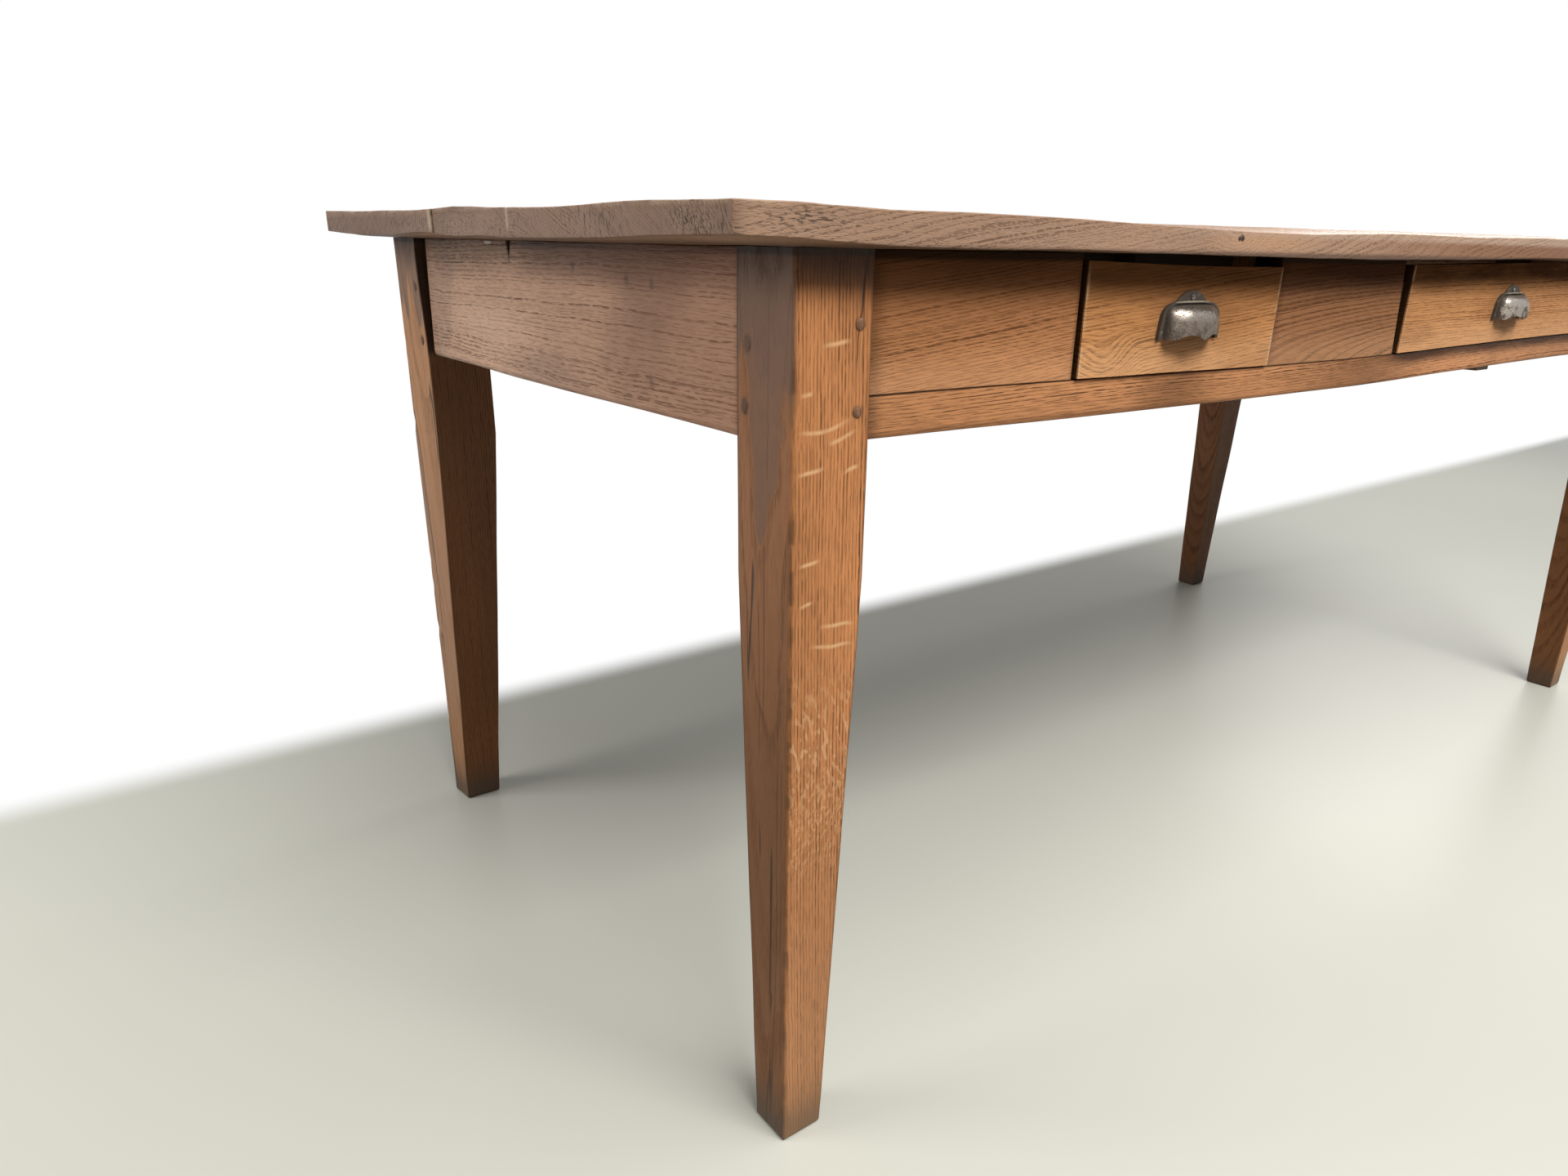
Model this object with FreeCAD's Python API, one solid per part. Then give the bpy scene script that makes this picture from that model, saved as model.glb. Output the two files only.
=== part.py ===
import FreeCAD, Part
import math
import os

# Farmhouse table of solid oak: a plank top on four tapered legs, pegged tenon joints and two drawers.
# Millimetres. +Z is up, the drawer side faces -Y and the length runs along X.
# The origin is on the floor, under the middle of the top.

# Frame
frame_length = 1778.0        # outer end face to outer end face of the legs
frame_depth = 782.0          # front face of the front legs to rear face of the rear legs
frame_height = 730.0         # floor to the underside of the top
leg_square = 66.0
leg_foot = 40.0              # width of the leg where it meets the floor
rear_left_leg_extra = 7.0    # the rear left leg was left wider along X
rear_left_foot_extra = 4.0
leg_straight = 225.0         # square length of the leg, from its top down to the taper
leg_edge_round = 2.0
foot_chamfer = 4.0
apron_height = 127.0
apron_thickness = 28.0
rail_height = 28.5           # front rail under the drawers
front_setback = 2.0          # front and rear boards behind the leg faces
end_setback = 3.0            # end aprons behind the leg faces
shrink_gap_top = 9.0         # end apron drawn away from the rear leg, at its top edge
shrink_gap_bottom = 2.0      # and at its bottom edge
apron_corner_round = 4.0

# Top
top_thickness = 25.0
end_overhang = 66.0
side_overhang = 30.0
front_plank_width = 318.0
middle_plank_width = 175.0
plank_edge_round = 5.0
tongue_thickness = 8.0
tongue_length = 10.0
tongue_end_gap = 1.0

# Tenons and their pegs
tenon_thickness = 10.0
tenon_length = 30.0
tenon_shoulder = 7.0         # tenon narrower than its board, at the top and at the bottom
mortise_spare = 2.0          # mortise deeper than its tenon
joint_fit = 0.1              # play round a tenon, a tongue, a peg or a screw
peg_diameter = 8.0
peg_proud = 1.5
peg_depth = 40.0
upper_peg_drop = 47.0        # long sides: peg axis below the top of the leg
lower_peg_drop = 105.0
long_peg_inset = 11.0        # peg axis to the shoulder of the joint
end_peg_drops = {"front": (62.0, 104.0), "rear": (52.0, 112.0)}
end_peg_insets = {"front": 7.5, "rear": 13.0}

# Front boards and drawer openings, from the left leg to the right
left_panel_width = 217.0
small_drawer_width = 285.0
middle_panel_width = 262.0
middle_panel_slope = 12.0    # right end of the middle panel out of square, at its top
right_panel_width = 319.0    # the wide drawer takes the rest of the front
gap_left_of_small_drawer = 4.0
gap_left_of_wide_drawer = 5.0
gap_right_of_drawer = 2.0
dowel_diameter = 8.0
dowel_length = 36.0
dowel_from_end = 45.0
dowel_end_gap = 0.5

# Drawer boxes
drawer_depth = 520.0         # face of the front to the rear end of the sides
drawer_proud = 3.0           # face of the front ahead of the rail
drawer_gap_above = 10.0
drawer_gap_below = 1.3
drawer_front_thickness = 22.0
drawer_side_thickness = 12.0
drawer_side_drop = 8.0       # top of the sides below the top of the front
drawer_side_inset = 0.5      # sides inside the ends of the front
drawer_back_thickness = 12.0
drawer_back_from_end = 10.0
drawer_back_drop = 12.0
drawer_bottom_thickness = 7.0
drawer_bottom_rise = 8.0     # underside of the bottom above the lower edge of the sides
drawer_groove_depth = 5.0
tail_length = 14.0
tail_root_width = 20.0
tail_end_width = 27.0
running_gap = 0.4            # drawer sides above the runners
guide_gap = 0.8              # drawer sides beside the guides
bearing_strip_width = 36.0   # strip glued under the bottom of the wide drawer

# Runners under the drawers, with a guide strip nailed on each
runner_thickness = 24.0
runner_under_drawer = 14.0
runner_beside_drawer = 20.0
runner_stub_length = 8.0
runner_stub_shoulder = 5.0
centre_runner_height = 39.0
centre_runner_width = 36.0
centre_runner_offset = 50.0  # right of the middle of the wide drawer
guide_height = 30.0
stop_length = 22.0
stop_height = 16.0
stop_gap = 0.4
nail_diameter = 2.4
nail_head_diameter = 5.0
nail_head_thickness = 1.0
nail_bite = 12.0
guide_nail_count = 3
bottom_nail_count = 3

# Buttons that hold the top down on the frame
button_width = 38.0
button_length = 45.0
button_thickness = 20.0
button_tongue_thickness = 9.0
button_tongue_length = 9.0
button_tongue_drop = 11.0    # top of the tongue below the underside of the top
button_slot_spare = 3.0      # slot wider than the button, for the movement of the top
screw_diameter = 4.5
screw_head_diameter = 9.0
screw_head_height = 2.6
screw_bite = 16.0
screw_from_board = 30.0      # screw axis to the inner face of the board

# Cast cup pulls
pull_lip_rise = 28.0         # lip of the cup above the lower edge of the drawer front
pull_width = 89.0            # flange across its lower tips
pull_waist_width = 84.0      # flange where its upper corners begin
pull_waist_rise = 20.0
pull_corner_width = 69.0     # flange halfway round its upper corners
pull_corner_rise = 28.0
pull_rim_width = 48.0        # straight upper edge of the flange
pull_rim_rise = 31.0
pull_crest_width = 44.0      # low arch on the upper edge, for a screw
pull_crest_rise = 40.0
pull_flange_thickness = 2.0
pull_cup_width = 73.0
pull_cup_rise = 28.0
pull_projection = 20.0
pull_wall = 2.0
pull_crown_share = 0.7       # width of the cup's crown as a share of its mouth
pull_loft_steps = (0.0, 0.35, 0.6, 0.8, 0.92, 0.98)   # heights of the cup's sections
lip_arch_radius = 14.0       # two arches in the lip, with a point between them
lip_arch_offset = 12.0
lip_arch_rise = 6.0
pull_crest_screw_rise = 34.5
pull_tip_screw_inset = 4.0
pull_tip_screw_rise = 5.0
pull_screw_diameter = 3.0
pull_screw_head_diameter = 6.0
pull_screw_head_height = 1.6
pull_screw_bite = 13.0

# Places worked out from the sizes
half_length = frame_length / 2
half_depth = frame_depth / 2
apron_low = frame_height - apron_height
rail_top = apron_low + rail_height
leg_inner_y = half_depth - leg_square
front_face_y = -half_depth + front_setback
front_inner_y = front_face_y + apron_thickness
rear_inner_y = half_depth - front_setback - apron_thickness
board_span_z = (apron_low, frame_height)
tenon_span_z = (apron_low + tenon_shoulder, frame_height - tenon_shoulder)
rail_tenon_z = (apron_low + tenon_shoulder / 2, rail_top)
panel_tenon_z = (rail_top + tenon_shoulder, frame_height - tenon_shoulder)
sides = {"left": -1, "right": 1}
ends = {"front": -1, "rear": 1}


def block(x, y, z):
    """Box between two places on each axis."""
    corner = FreeCAD.Vector(min(x), min(y), min(z))
    return Part.makeBox(abs(x[1] - x[0]), abs(y[1] - y[0]), abs(z[1] - z[0]), corner)


def wider(span, margin):
    """A span with the same margin added at both its ends."""
    return (min(span) - margin, max(span) + margin)


def rod(start, direction, diameter, length):
    """Round bar from a point along a direction."""
    return Part.makeCylinder(diameter / 2, length, FreeCAD.Vector(*start), FreeCAD.Vector(*direction))


def prism(points, push):
    """Flat outline through the points, pushed along a vector."""
    corners = [FreeCAD.Vector(*point) for point in points]
    face = Part.Face(Part.makePolygon(corners + corners[:1]))
    return face.extrude(FreeCAD.Vector(*push))


def edges_where(shape, test):
    """Edges whose both ends pass a test."""
    return [edge for edge in shape.Edges if all(test(vertex.Point) for vertex in edge.Vertexes)]


def save(name, pieces):
    """Write one node: a single solid, or a group of like solids."""
    shape = pieces
    if isinstance(pieces, list):
        shape = Part.makeCompound(pieces)
    shape.exportStep("parts/" + name + ".step")


def at(value, place):
    """Whether a coordinate lies at a place, within rounding."""
    return abs(value - place) < 1e-6


# Joints between the boards and the legs
def leg_widths(side, end):
    """Width along X of a leg's square part and of its foot."""
    if (side, end) == ("left", "rear"):
        return leg_square + rear_left_leg_extra, leg_foot + rear_left_foot_extra
    return leg_square, leg_foot


def leg_inner_x(side, end):
    """Place of the inner face that a front or rear board meets."""
    return sides[side] * (half_length - leg_widths(side, end)[0])


def long_tenon(side, end, span_z, play=0.0, spare=0.0):
    """Tenon of a front or rear board in the leg at that corner."""
    inner_x = leg_inner_x(side, end)
    tip_x = inner_x + sides[side] * (tenon_length + spare)
    middle_y = ends[end] * (half_depth - front_setback - apron_thickness / 2)
    cheeks = wider((middle_y - tenon_thickness / 2, middle_y + tenon_thickness / 2), play)
    return block((inner_x, tip_x), cheeks, wider(span_z, play))


def end_tenon(side, end, span_z, play=0.0, spare=0.0):
    """Tenon of an end apron in the leg at that corner."""
    inner_y = ends[end] * leg_inner_y
    tip_y = inner_y + ends[end] * (tenon_length + spare)
    middle_x = sides[side] * (half_length - end_setback - apron_thickness / 2)
    cheeks = wider((middle_x - tenon_thickness / 2, middle_x + tenon_thickness / 2), play)
    return block(cheeks, (inner_y, tip_y), wider(span_z, play))


def long_pegs(side, end, play=0.0):
    """Two pegs through the front or rear face of a leg."""
    x = leg_inner_x(side, end) + sides[side] * long_peg_inset
    y = ends[end] * (half_depth + peg_proud)
    heights = (frame_height - upper_peg_drop, frame_height - lower_peg_drop)
    inward = (0, -ends[end], 0)
    length = peg_proud + peg_depth
    return [rod((x, y, z), inward, peg_diameter + 2 * play, length + play) for z in heights]


def end_pegs(side, end, play=0.0):
    """Two pegs through the end face of a leg."""
    x = sides[side] * (half_length + peg_proud)
    y = ends[end] * (leg_inner_y + end_peg_insets[end])
    heights = [frame_height - drop for drop in end_peg_drops[end]]
    inward = (-sides[side], 0, 0)
    length = peg_proud + peg_depth
    return [rod((x, y, z), inward, peg_diameter + 2 * play, length + play) for z in heights]


# Top: three planks, tongued and grooved along their long edges
def plank(front_y, rear_y, tongue_ahead, groove_behind, round_front, round_rear):
    half_top = half_length + end_overhang
    span_z = (frame_height, frame_height + top_thickness)
    middle_z = sum(span_z) / 2
    tongue_z = (middle_z - tongue_thickness / 2, middle_z + tongue_thickness / 2)
    board = block((-half_top, half_top), (front_y, rear_y), span_z)
    worn_edges = []
    for high in span_z:
        for end_x in (-half_top, half_top):
            worn_edges += edges_where(board, lambda point: at(point.x, end_x) and at(point.z, high))
        if round_front:
            worn_edges += edges_where(board, lambda point: at(point.y, front_y) and at(point.z, high))
        if round_rear:
            worn_edges += edges_where(board, lambda point: at(point.y, rear_y) and at(point.z, high))
    for end_x in (-half_top, half_top):
        if round_front:
            worn_edges += edges_where(board, lambda point: at(point.x, end_x) and at(point.y, front_y))
        if round_rear:
            worn_edges += edges_where(board, lambda point: at(point.x, end_x) and at(point.y, rear_y))
    board = board.makeFillet(plank_edge_round, worn_edges)
    if groove_behind:
        groove = block((-half_top, half_top), (rear_y - tongue_length - tongue_end_gap, rear_y),
                       wider(tongue_z, joint_fit))
        board = board.cut(groove)
    if tongue_ahead:
        tongue = block((-half_top + plank_edge_round, half_top - plank_edge_round),
                       (front_y - tongue_length, front_y), tongue_z)
        board = board.fuse(tongue)
    return board.removeSplitter()


plank_front_y = -half_depth - side_overhang
first_joint_y = plank_front_y + front_plank_width
second_joint_y = first_joint_y + middle_plank_width
plank_rear_y = half_depth + side_overhang
top_planks = {
    "top_plank_front": plank(plank_front_y, first_joint_y, False, True, True, False),
    "top_plank_middle": plank(first_joint_y, second_joint_y, True, True, False, False),
    "top_plank_rear": plank(second_joint_y, plank_rear_y, True, False, False, True),
}


# Legs: square at the top, tapered on the two inner faces, mortised for the boards
def leg(side, end):
    outer_x = sides[side] * half_length
    outer_y = ends[end] * half_depth
    taper_z = frame_height - leg_straight

    def outline(outer, inward, width, foot_width):
        square = outer + inward * width
        foot = outer + inward * foot_width
        return [(outer, 0), (outer, frame_height), (square, frame_height), (square, taper_z), (foot, 0)]

    width, foot_width = leg_widths(side, end)
    across = [(x, outer_y, z) for x, z in outline(outer_x, -sides[side], width, foot_width)]
    along = [(outer_x, y, z) for y, z in outline(outer_y, -ends[end], leg_square, leg_foot)]
    shape = prism(across, (0, -ends[end] * leg_square, 0))
    shape = shape.common(prism(along, (-sides[side] * width, 0, 0)))
    outer_edge = edges_where(shape, lambda point: at(point.x, outer_x) and at(point.y, outer_y))
    shape = shape.makeFillet(leg_edge_round, outer_edge)
    shape = shape.makeChamfer(foot_chamfer, edges_where(shape, lambda point: at(point.z, 0)))
    long_spans = [rail_tenon_z, panel_tenon_z] if end == "front" else [tenon_span_z]
    for span_z in long_spans:
        shape = shape.cut(long_tenon(side, end, span_z, joint_fit, mortise_spare))
    shape = shape.cut(end_tenon(side, end, tenon_span_z, joint_fit, mortise_spare))
    for hole in long_pegs(side, end, joint_fit) + end_pegs(side, end, joint_fit):
        shape = shape.cut(hole)
    return shape


# Front boards and openings, from the left leg to the right
panel_left_x = (leg_inner_x("left", "front"), leg_inner_x("left", "front") + left_panel_width)
small_drawer_x = (panel_left_x[1] + gap_left_of_small_drawer,
                  panel_left_x[1] + gap_left_of_small_drawer + small_drawer_width)
panel_middle_x = (small_drawer_x[1] + gap_right_of_drawer,
                  small_drawer_x[1] + gap_right_of_drawer + middle_panel_width)
panel_right_x = (leg_inner_x("right", "front") - right_panel_width, leg_inner_x("right", "front"))
wide_drawer_x = (panel_middle_x[1] + gap_left_of_wide_drawer, panel_right_x[0] - gap_right_of_drawer)

# Buttons: where each one stands, as its middle and the direction towards its board
end_inner_x = half_length - end_setback - apron_thickness
front_button_places = [(sum(span) / 2, front_inner_y, 0, -1)
                       for span in (panel_left_x, panel_middle_x, panel_right_x)]
rear_button_places = [(x, rear_inner_y, 0, 1) for x in (-half_length / 2, 0.0, half_length / 2)]
end_button_places = [(sides[side] * end_inner_x, ends[end] * leg_inner_y / 2, sides[side], 0)
                     for side in sides for end in ends]
button_places = front_button_places + rear_button_places + end_button_places


def against(place, out, width, span_z):
    """Box at a button's place, reaching from out[0] to out[1] away from the board's inner face."""
    x, y, toward_x, toward_y = place
    if toward_x:
        return block((x - toward_x * out[0], x - toward_x * out[1]), (y - width / 2, y + width / 2), span_z)
    return block((x - width / 2, x + width / 2), (y - toward_y * out[0], y - toward_y * out[1]), span_z)


def button_tongue_z(play=0.0):
    high = frame_height - button_tongue_drop
    return wider((high - button_tongue_thickness, high), play)


def button_slot(place):
    return against(place, (-button_tongue_length - mortise_spare, 0), button_width + button_slot_spare,
                   button_tongue_z(joint_fit))


def button_screw(place, play=0.0):
    """Countersunk screw up through the thick end of a button into the top."""
    x, y, toward_x, toward_y = place
    axis_x = x - toward_x * screw_from_board
    axis_y = y - toward_y * screw_from_board
    low_z = frame_height - button_thickness
    head = Part.makeCone(screw_head_diameter / 2 + play, screw_diameter / 2 + play, screw_head_height,
                         FreeCAD.Vector(axis_x, axis_y, low_z))
    shank = rod((axis_x, axis_y, low_z), (0, 0, 1), screw_diameter + 2 * play,
                button_thickness + screw_bite + play)
    return head.fuse(shank).removeSplitter()


def button(place):
    body = against(place, (0, button_length), button_width, (frame_height - button_thickness, frame_height))
    tongue = against(place, (-button_tongue_length, 0), button_width, button_tongue_z())
    return body.fuse(tongue).removeSplitter().cut(button_screw(place, joint_fit))


# Aprons and front boards
def long_board(span_x, end, span_z, tenons):
    """Board along X between or beside the legs, with a tenon at each leg that it meets."""
    low_y = front_face_y if end == "front" else rear_inner_y
    board = block(span_x, (low_y, low_y + apron_thickness), span_z)
    for side, tenon_z in tenons:
        board = board.fuse(long_tenon(side, end, tenon_z))
    for side in sides:
        for hole in long_pegs(side, end, joint_fit):
            board = board.cut(hole)
    return board.removeSplitter()


def end_apron(side):
    """Board across the end; shrinkage has drawn its rear shoulder away from the leg."""
    outer_x = sides[side] * (half_length - end_setback)
    outline = [
        (outer_x, -leg_inner_y, apron_low),
        (outer_x, leg_inner_y - shrink_gap_bottom, apron_low),
        (outer_x, leg_inner_y - shrink_gap_top, frame_height),
        (outer_x, -leg_inner_y, frame_height),
    ]
    board = prism(outline, (-sides[side] * apron_thickness, 0, 0))
    gap_corner = edges_where(board, lambda point: at(point.z, apron_low)
                             and at(point.y, leg_inner_y - shrink_gap_bottom))
    board = board.makeFillet(apron_corner_round, gap_corner)
    front_tenon = end_tenon(side, "front", tenon_span_z)
    rear_tenon = end_tenon(side, "rear", tenon_span_z)
    neck_x = (rear_tenon.BoundBox.XMin, rear_tenon.BoundBox.XMax)
    neck = block(neck_x, (leg_inner_y - shrink_gap_top - tenon_length, leg_inner_y), tenon_span_z)
    board = board.fuse([front_tenon, rear_tenon, neck])
    for hole in end_pegs(side, "front", joint_fit) + end_pegs(side, "rear", joint_fit):
        board = board.cut(hole)
    return board.removeSplitter()


def dowels(panel_x, play=0.0):
    """Two upright dowels between a front panel and the rail under it."""
    y = front_face_y + apron_thickness / 2
    low_z = rail_top - dowel_length / 2 - (dowel_end_gap if play else 0.0)
    length = dowel_length + (2 * dowel_end_gap if play else 0.0)
    places = (panel_x[0] + dowel_from_end, panel_x[1] - dowel_from_end)
    return [rod((x, y, low_z), (0, 0, 1), dowel_diameter + 2 * play, length) for x in places]


# Runners: stub tenons into the rail and the rear apron
def runner_stubs(span_x, play=0.0, spare=0.0):
    stub_x = wider(span_x, play - runner_stub_shoulder)
    stub_z = wider((rail_top - runner_thickness, rail_top), play - runner_stub_shoulder)
    reach = runner_stub_length + spare
    front = block(stub_x, (front_inner_y - reach, front_inner_y), stub_z)
    rear = block(stub_x, (rear_inner_y, rear_inner_y + reach), stub_z)
    return [front, rear]


def runner(span_x, height):
    bar = block(span_x, (front_inner_y, rear_inner_y), (rail_top - height, rail_top))
    return bar.fuse(runner_stubs(span_x)).removeSplitter()


def nail(point, direction, length, play=0.0):
    """Round nail: the head lies on the point and the shank runs along the direction."""
    shank = rod(point, direction, nail_diameter + 2 * play, length)
    if play:
        return shank
    back = [coordinate - step * nail_head_thickness for coordinate, step in zip(point, direction)]
    head = rod(back, direction, nail_head_diameter, nail_head_thickness)
    return shank.fuse(head).removeSplitter()


# Drawers: places
drawer_face_y = front_face_y - drawer_proud
drawer_front_back_y = drawer_face_y + drawer_front_thickness
drawer_end_y = drawer_face_y + drawer_depth
drawer_front_z = (rail_top + drawer_gap_below, frame_height - drawer_gap_above)
drawer_side_z = (rail_top + running_gap, drawer_front_z[1] - drawer_side_drop)
drawer_bottom_z = (drawer_side_z[0] + drawer_bottom_rise,
                   drawer_side_z[0] + drawer_bottom_rise + drawer_bottom_thickness)
drawer_back_y = (drawer_end_y - drawer_back_from_end - drawer_back_thickness,
                 drawer_end_y - drawer_back_from_end)
centre_runner_x = sum(wide_drawer_x) / 2 + centre_runner_offset


def drawer_runner_spans(drawer_x):
    left = (drawer_x[0] - runner_beside_drawer, drawer_x[0] + runner_under_drawer)
    right = (drawer_x[1] - runner_under_drawer, drawer_x[1] + runner_beside_drawer)
    return {"left": left, "right": right}


def guide_span(drawer_x, side):
    if side == "left":
        return (drawer_x[0] - runner_beside_drawer, drawer_x[0] - guide_gap)
    return (drawer_x[1] + guide_gap, drawer_x[1] + runner_beside_drawer)


def guide_nails(drawer_x, side, play=0.0):
    x = sum(guide_span(drawer_x, side)) / 2
    pitch = (rear_inner_y - front_inner_y) / guide_nail_count
    top = rail_top + guide_height
    length = guide_height + nail_bite
    places = [front_inner_y + pitch * (index + 0.5) for index in range(guide_nail_count)]
    return [nail((x, y, top), (0, 0, -1), length, play) for y in places]


def drawer_bottom_box(drawer_x, play=0.0):
    inner = wider(drawer_x, -drawer_side_inset - drawer_side_thickness)
    span_x = wider(inner, drawer_groove_depth + play)
    span_y = (drawer_front_back_y - drawer_groove_depth - play, drawer_end_y)
    return block(span_x, span_y, wider(drawer_bottom_z, play))


def drawer_back_box(drawer_x, play=0.0):
    inner = wider(drawer_x, -drawer_side_inset - drawer_side_thickness)
    span_x = wider(inner, drawer_groove_depth + play)
    high_z = drawer_side_z[1] - drawer_back_drop
    return block(span_x, wider(drawer_back_y, play), (drawer_bottom_z[1], high_z + play))


def bottom_nails(drawer_x, play=0.0):
    pitch = (drawer_x[1] - drawer_x[0]) / bottom_nail_count
    places = [drawer_x[0] + pitch * (index + 0.5) for index in range(bottom_nail_count)]
    y = sum(drawer_back_y) / 2
    length = drawer_bottom_thickness + nail_bite
    return [nail((x, y, drawer_bottom_z[0]), (0, 0, 1), length, play) for x in places]


def tails(span_x, play=0.0):
    """Two dovetails at the front end of a drawer side."""
    half = (drawer_side_z[1] - drawer_side_z[0]) / 2
    root_y = drawer_front_back_y
    tip_y = root_y - tail_length - play
    shapes = []
    for step in (0.5, 1.5):
        middle = drawer_side_z[0] + half * step
        root = tail_root_width / 2 + play
        tip = tail_end_width / 2 + play
        outline = [(span_x[0], root_y, middle - root), (span_x[0], tip_y, middle - tip),
                   (span_x[0], tip_y, middle + tip), (span_x[0], root_y, middle + root)]
        shapes.append(prism(outline, (span_x[1] - span_x[0], 0, 0)))
    return shapes


def drawer_side_span(drawer_x, side):
    if side == "left":
        low = drawer_x[0] + drawer_side_inset
        return (low, low + drawer_side_thickness)
    high = drawer_x[1] - drawer_side_inset
    return (high - drawer_side_thickness, high)


def socket_span(drawer_x, side):
    """Reach of the dovetail sockets, open at the end of the drawer front."""
    low, high = drawer_side_span(drawer_x, side)
    if side == "left":
        return (drawer_x[0], high + joint_fit)
    return (low - joint_fit, drawer_x[1])


def drawer_side(drawer_x, side):
    span_x = drawer_side_span(drawer_x, side)
    board = block(span_x, (drawer_front_back_y, drawer_end_y), drawer_side_z)
    board = board.fuse(tails(span_x)).removeSplitter()
    board = board.cut(drawer_bottom_box(drawer_x, joint_fit))
    return board.cut(drawer_back_box(drawer_x, joint_fit))


# Pulls: a cast cup, open behind and below, on a flange with a crest
def cup_form(inset, low):
    """Half-round cup closing in towards its crown, drawn in by a wall."""
    sections = []
    for step in pull_loft_steps:
        closing = (1 - step ** 4) ** 0.5
        reach = (pull_projection - inset) * closing
        crown = pull_crown_share + (1 - pull_crown_share) * closing
        half_width = (pull_cup_width / 2 - inset) * crown
        middle = FreeCAD.Vector(0, 0, (pull_cup_rise - inset) * step)
        if step == 0.0:
            middle.z = low
        ellipse = Part.Ellipse(middle, half_width, reach)
        bow = Part.ArcOfEllipse(ellipse, math.pi, 2 * math.pi).toShape()
        chord = Part.LineSegment(middle + FreeCAD.Vector(half_width, 0, 0),
                                 middle - FreeCAD.Vector(half_width, 0, 0)).toShape()
        sections.append(Part.Wire([bow, chord]))
    return Part.makeLoft(sections, True, False)


def pull_screw_places():
    tip_x = pull_width / 2 - pull_tip_screw_inset
    return [(0.0, pull_crest_screw_rise), (-tip_x, pull_tip_screw_rise), (tip_x, pull_tip_screw_rise)]


def pull_flange():
    def point(width, rise):
        return FreeCAD.Vector(width / 2, 0, rise)

    def line(start, stop):
        return Part.LineSegment(start, stop).toShape()

    def corner(side):
        return Part.Arc(point(side * pull_waist_width, pull_waist_rise),
                        point(side * pull_corner_width, pull_corner_rise),
                        point(side * pull_rim_width, pull_rim_rise)).toShape()

    crest = Part.Arc(point(-pull_crest_width, pull_rim_rise), point(0.0, pull_crest_rise),
                     point(pull_crest_width, pull_rim_rise)).toShape()
    outline = [
        line(point(-pull_width, 0.0), point(-pull_waist_width, pull_waist_rise)),
        corner(-1),
        line(point(-pull_rim_width, pull_rim_rise), point(-pull_crest_width, pull_rim_rise)),
        crest,
        line(point(pull_crest_width, pull_rim_rise), point(pull_rim_width, pull_rim_rise)),
        corner(1),
        line(point(pull_waist_width, pull_waist_rise), point(pull_width, 0.0)),
        line(point(pull_width, 0.0), point(-pull_width, 0.0)),
    ]
    wire = Part.Wire(Part.sortEdges(outline)[0])
    return Part.Face(wire).extrude(FreeCAD.Vector(0, -pull_flange_thickness, 0))


def pull(place):
    shape = pull_flange().fuse(cup_form(0.0, 0.0)).removeSplitter().cut(cup_form(pull_wall, -pull_wall))
    for side in (-1, 1):
        arch = (side * lip_arch_offset, -pull_flange_thickness, lip_arch_rise - lip_arch_radius)
        shape = shape.cut(rod(arch, (0, -1, 0), 2 * lip_arch_radius, pull_projection))
    for x, z in pull_screw_places():
        hole = rod((x, 0, z), (0, -1, 0), pull_screw_diameter + 2 * joint_fit, pull_flange_thickness)
        shape = shape.cut(hole)
    shape.translate(FreeCAD.Vector(*place))
    return shape


def pull_screws(place, play=0.0):
    """Round-headed screws: heads on the flange, shanks in the drawer front."""
    shapes = []
    for x, z in pull_screw_places():
        shank = rod((x, -pull_flange_thickness, z), (0, 1, 0), pull_screw_diameter + 2 * play,
                    pull_flange_thickness + pull_screw_bite + play)
        if not play:
            head = rod((x, -pull_flange_thickness, z), (0, -1, 0), pull_screw_head_diameter,
                       pull_screw_head_height)
            shank = shank.fuse(head).removeSplitter()
        shank.translate(FreeCAD.Vector(*place))
        shapes.append(shank)
    return shapes


def drawer(name, drawer_x):
    """All the pieces of one drawer, by node name."""
    place = (sum(drawer_x) / 2, drawer_face_y, drawer_front_z[0] + pull_lip_rise)
    front = block(drawer_x, (drawer_face_y, drawer_front_back_y), drawer_front_z)
    for side in sides:
        for socket in tails(socket_span(drawer_x, side), joint_fit):
            front = front.cut(socket)
    front = front.cut(drawer_bottom_box(drawer_x, joint_fit))
    for hole in pull_screws(place, joint_fit):
        front = front.cut(hole)
    bottom = drawer_bottom_box(drawer_x)
    back = drawer_back_box(drawer_x)
    for hole in bottom_nails(drawer_x, joint_fit):
        bottom = bottom.cut(hole)
        back = back.cut(hole)
    return {
        name + "_front": front,
        name + "_side_left": drawer_side(drawer_x, "left"),
        name + "_side_right": drawer_side(drawer_x, "right"),
        name + "_back": back,
        name + "_bottom": bottom,
        name + "_bottom_nails": bottom_nails(drawer_x),
        name + "_pull": pull(place),
        name + "_pull_screws": pull_screws(place),
    }


# Put the table together, one node for each piece or group of like fixings
nodes = {}
for name, board in top_planks.items():
    for place in button_places:
        board = board.cut(button_screw(place, joint_fit))
    nodes[name] = board

for end in ends:
    for side in sides:
        nodes["leg_" + end + "_" + side] = leg(side, end)
        nodes["pegs_" + end + "_" + side] = long_pegs(side, end) + end_pegs(side, end)

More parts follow.
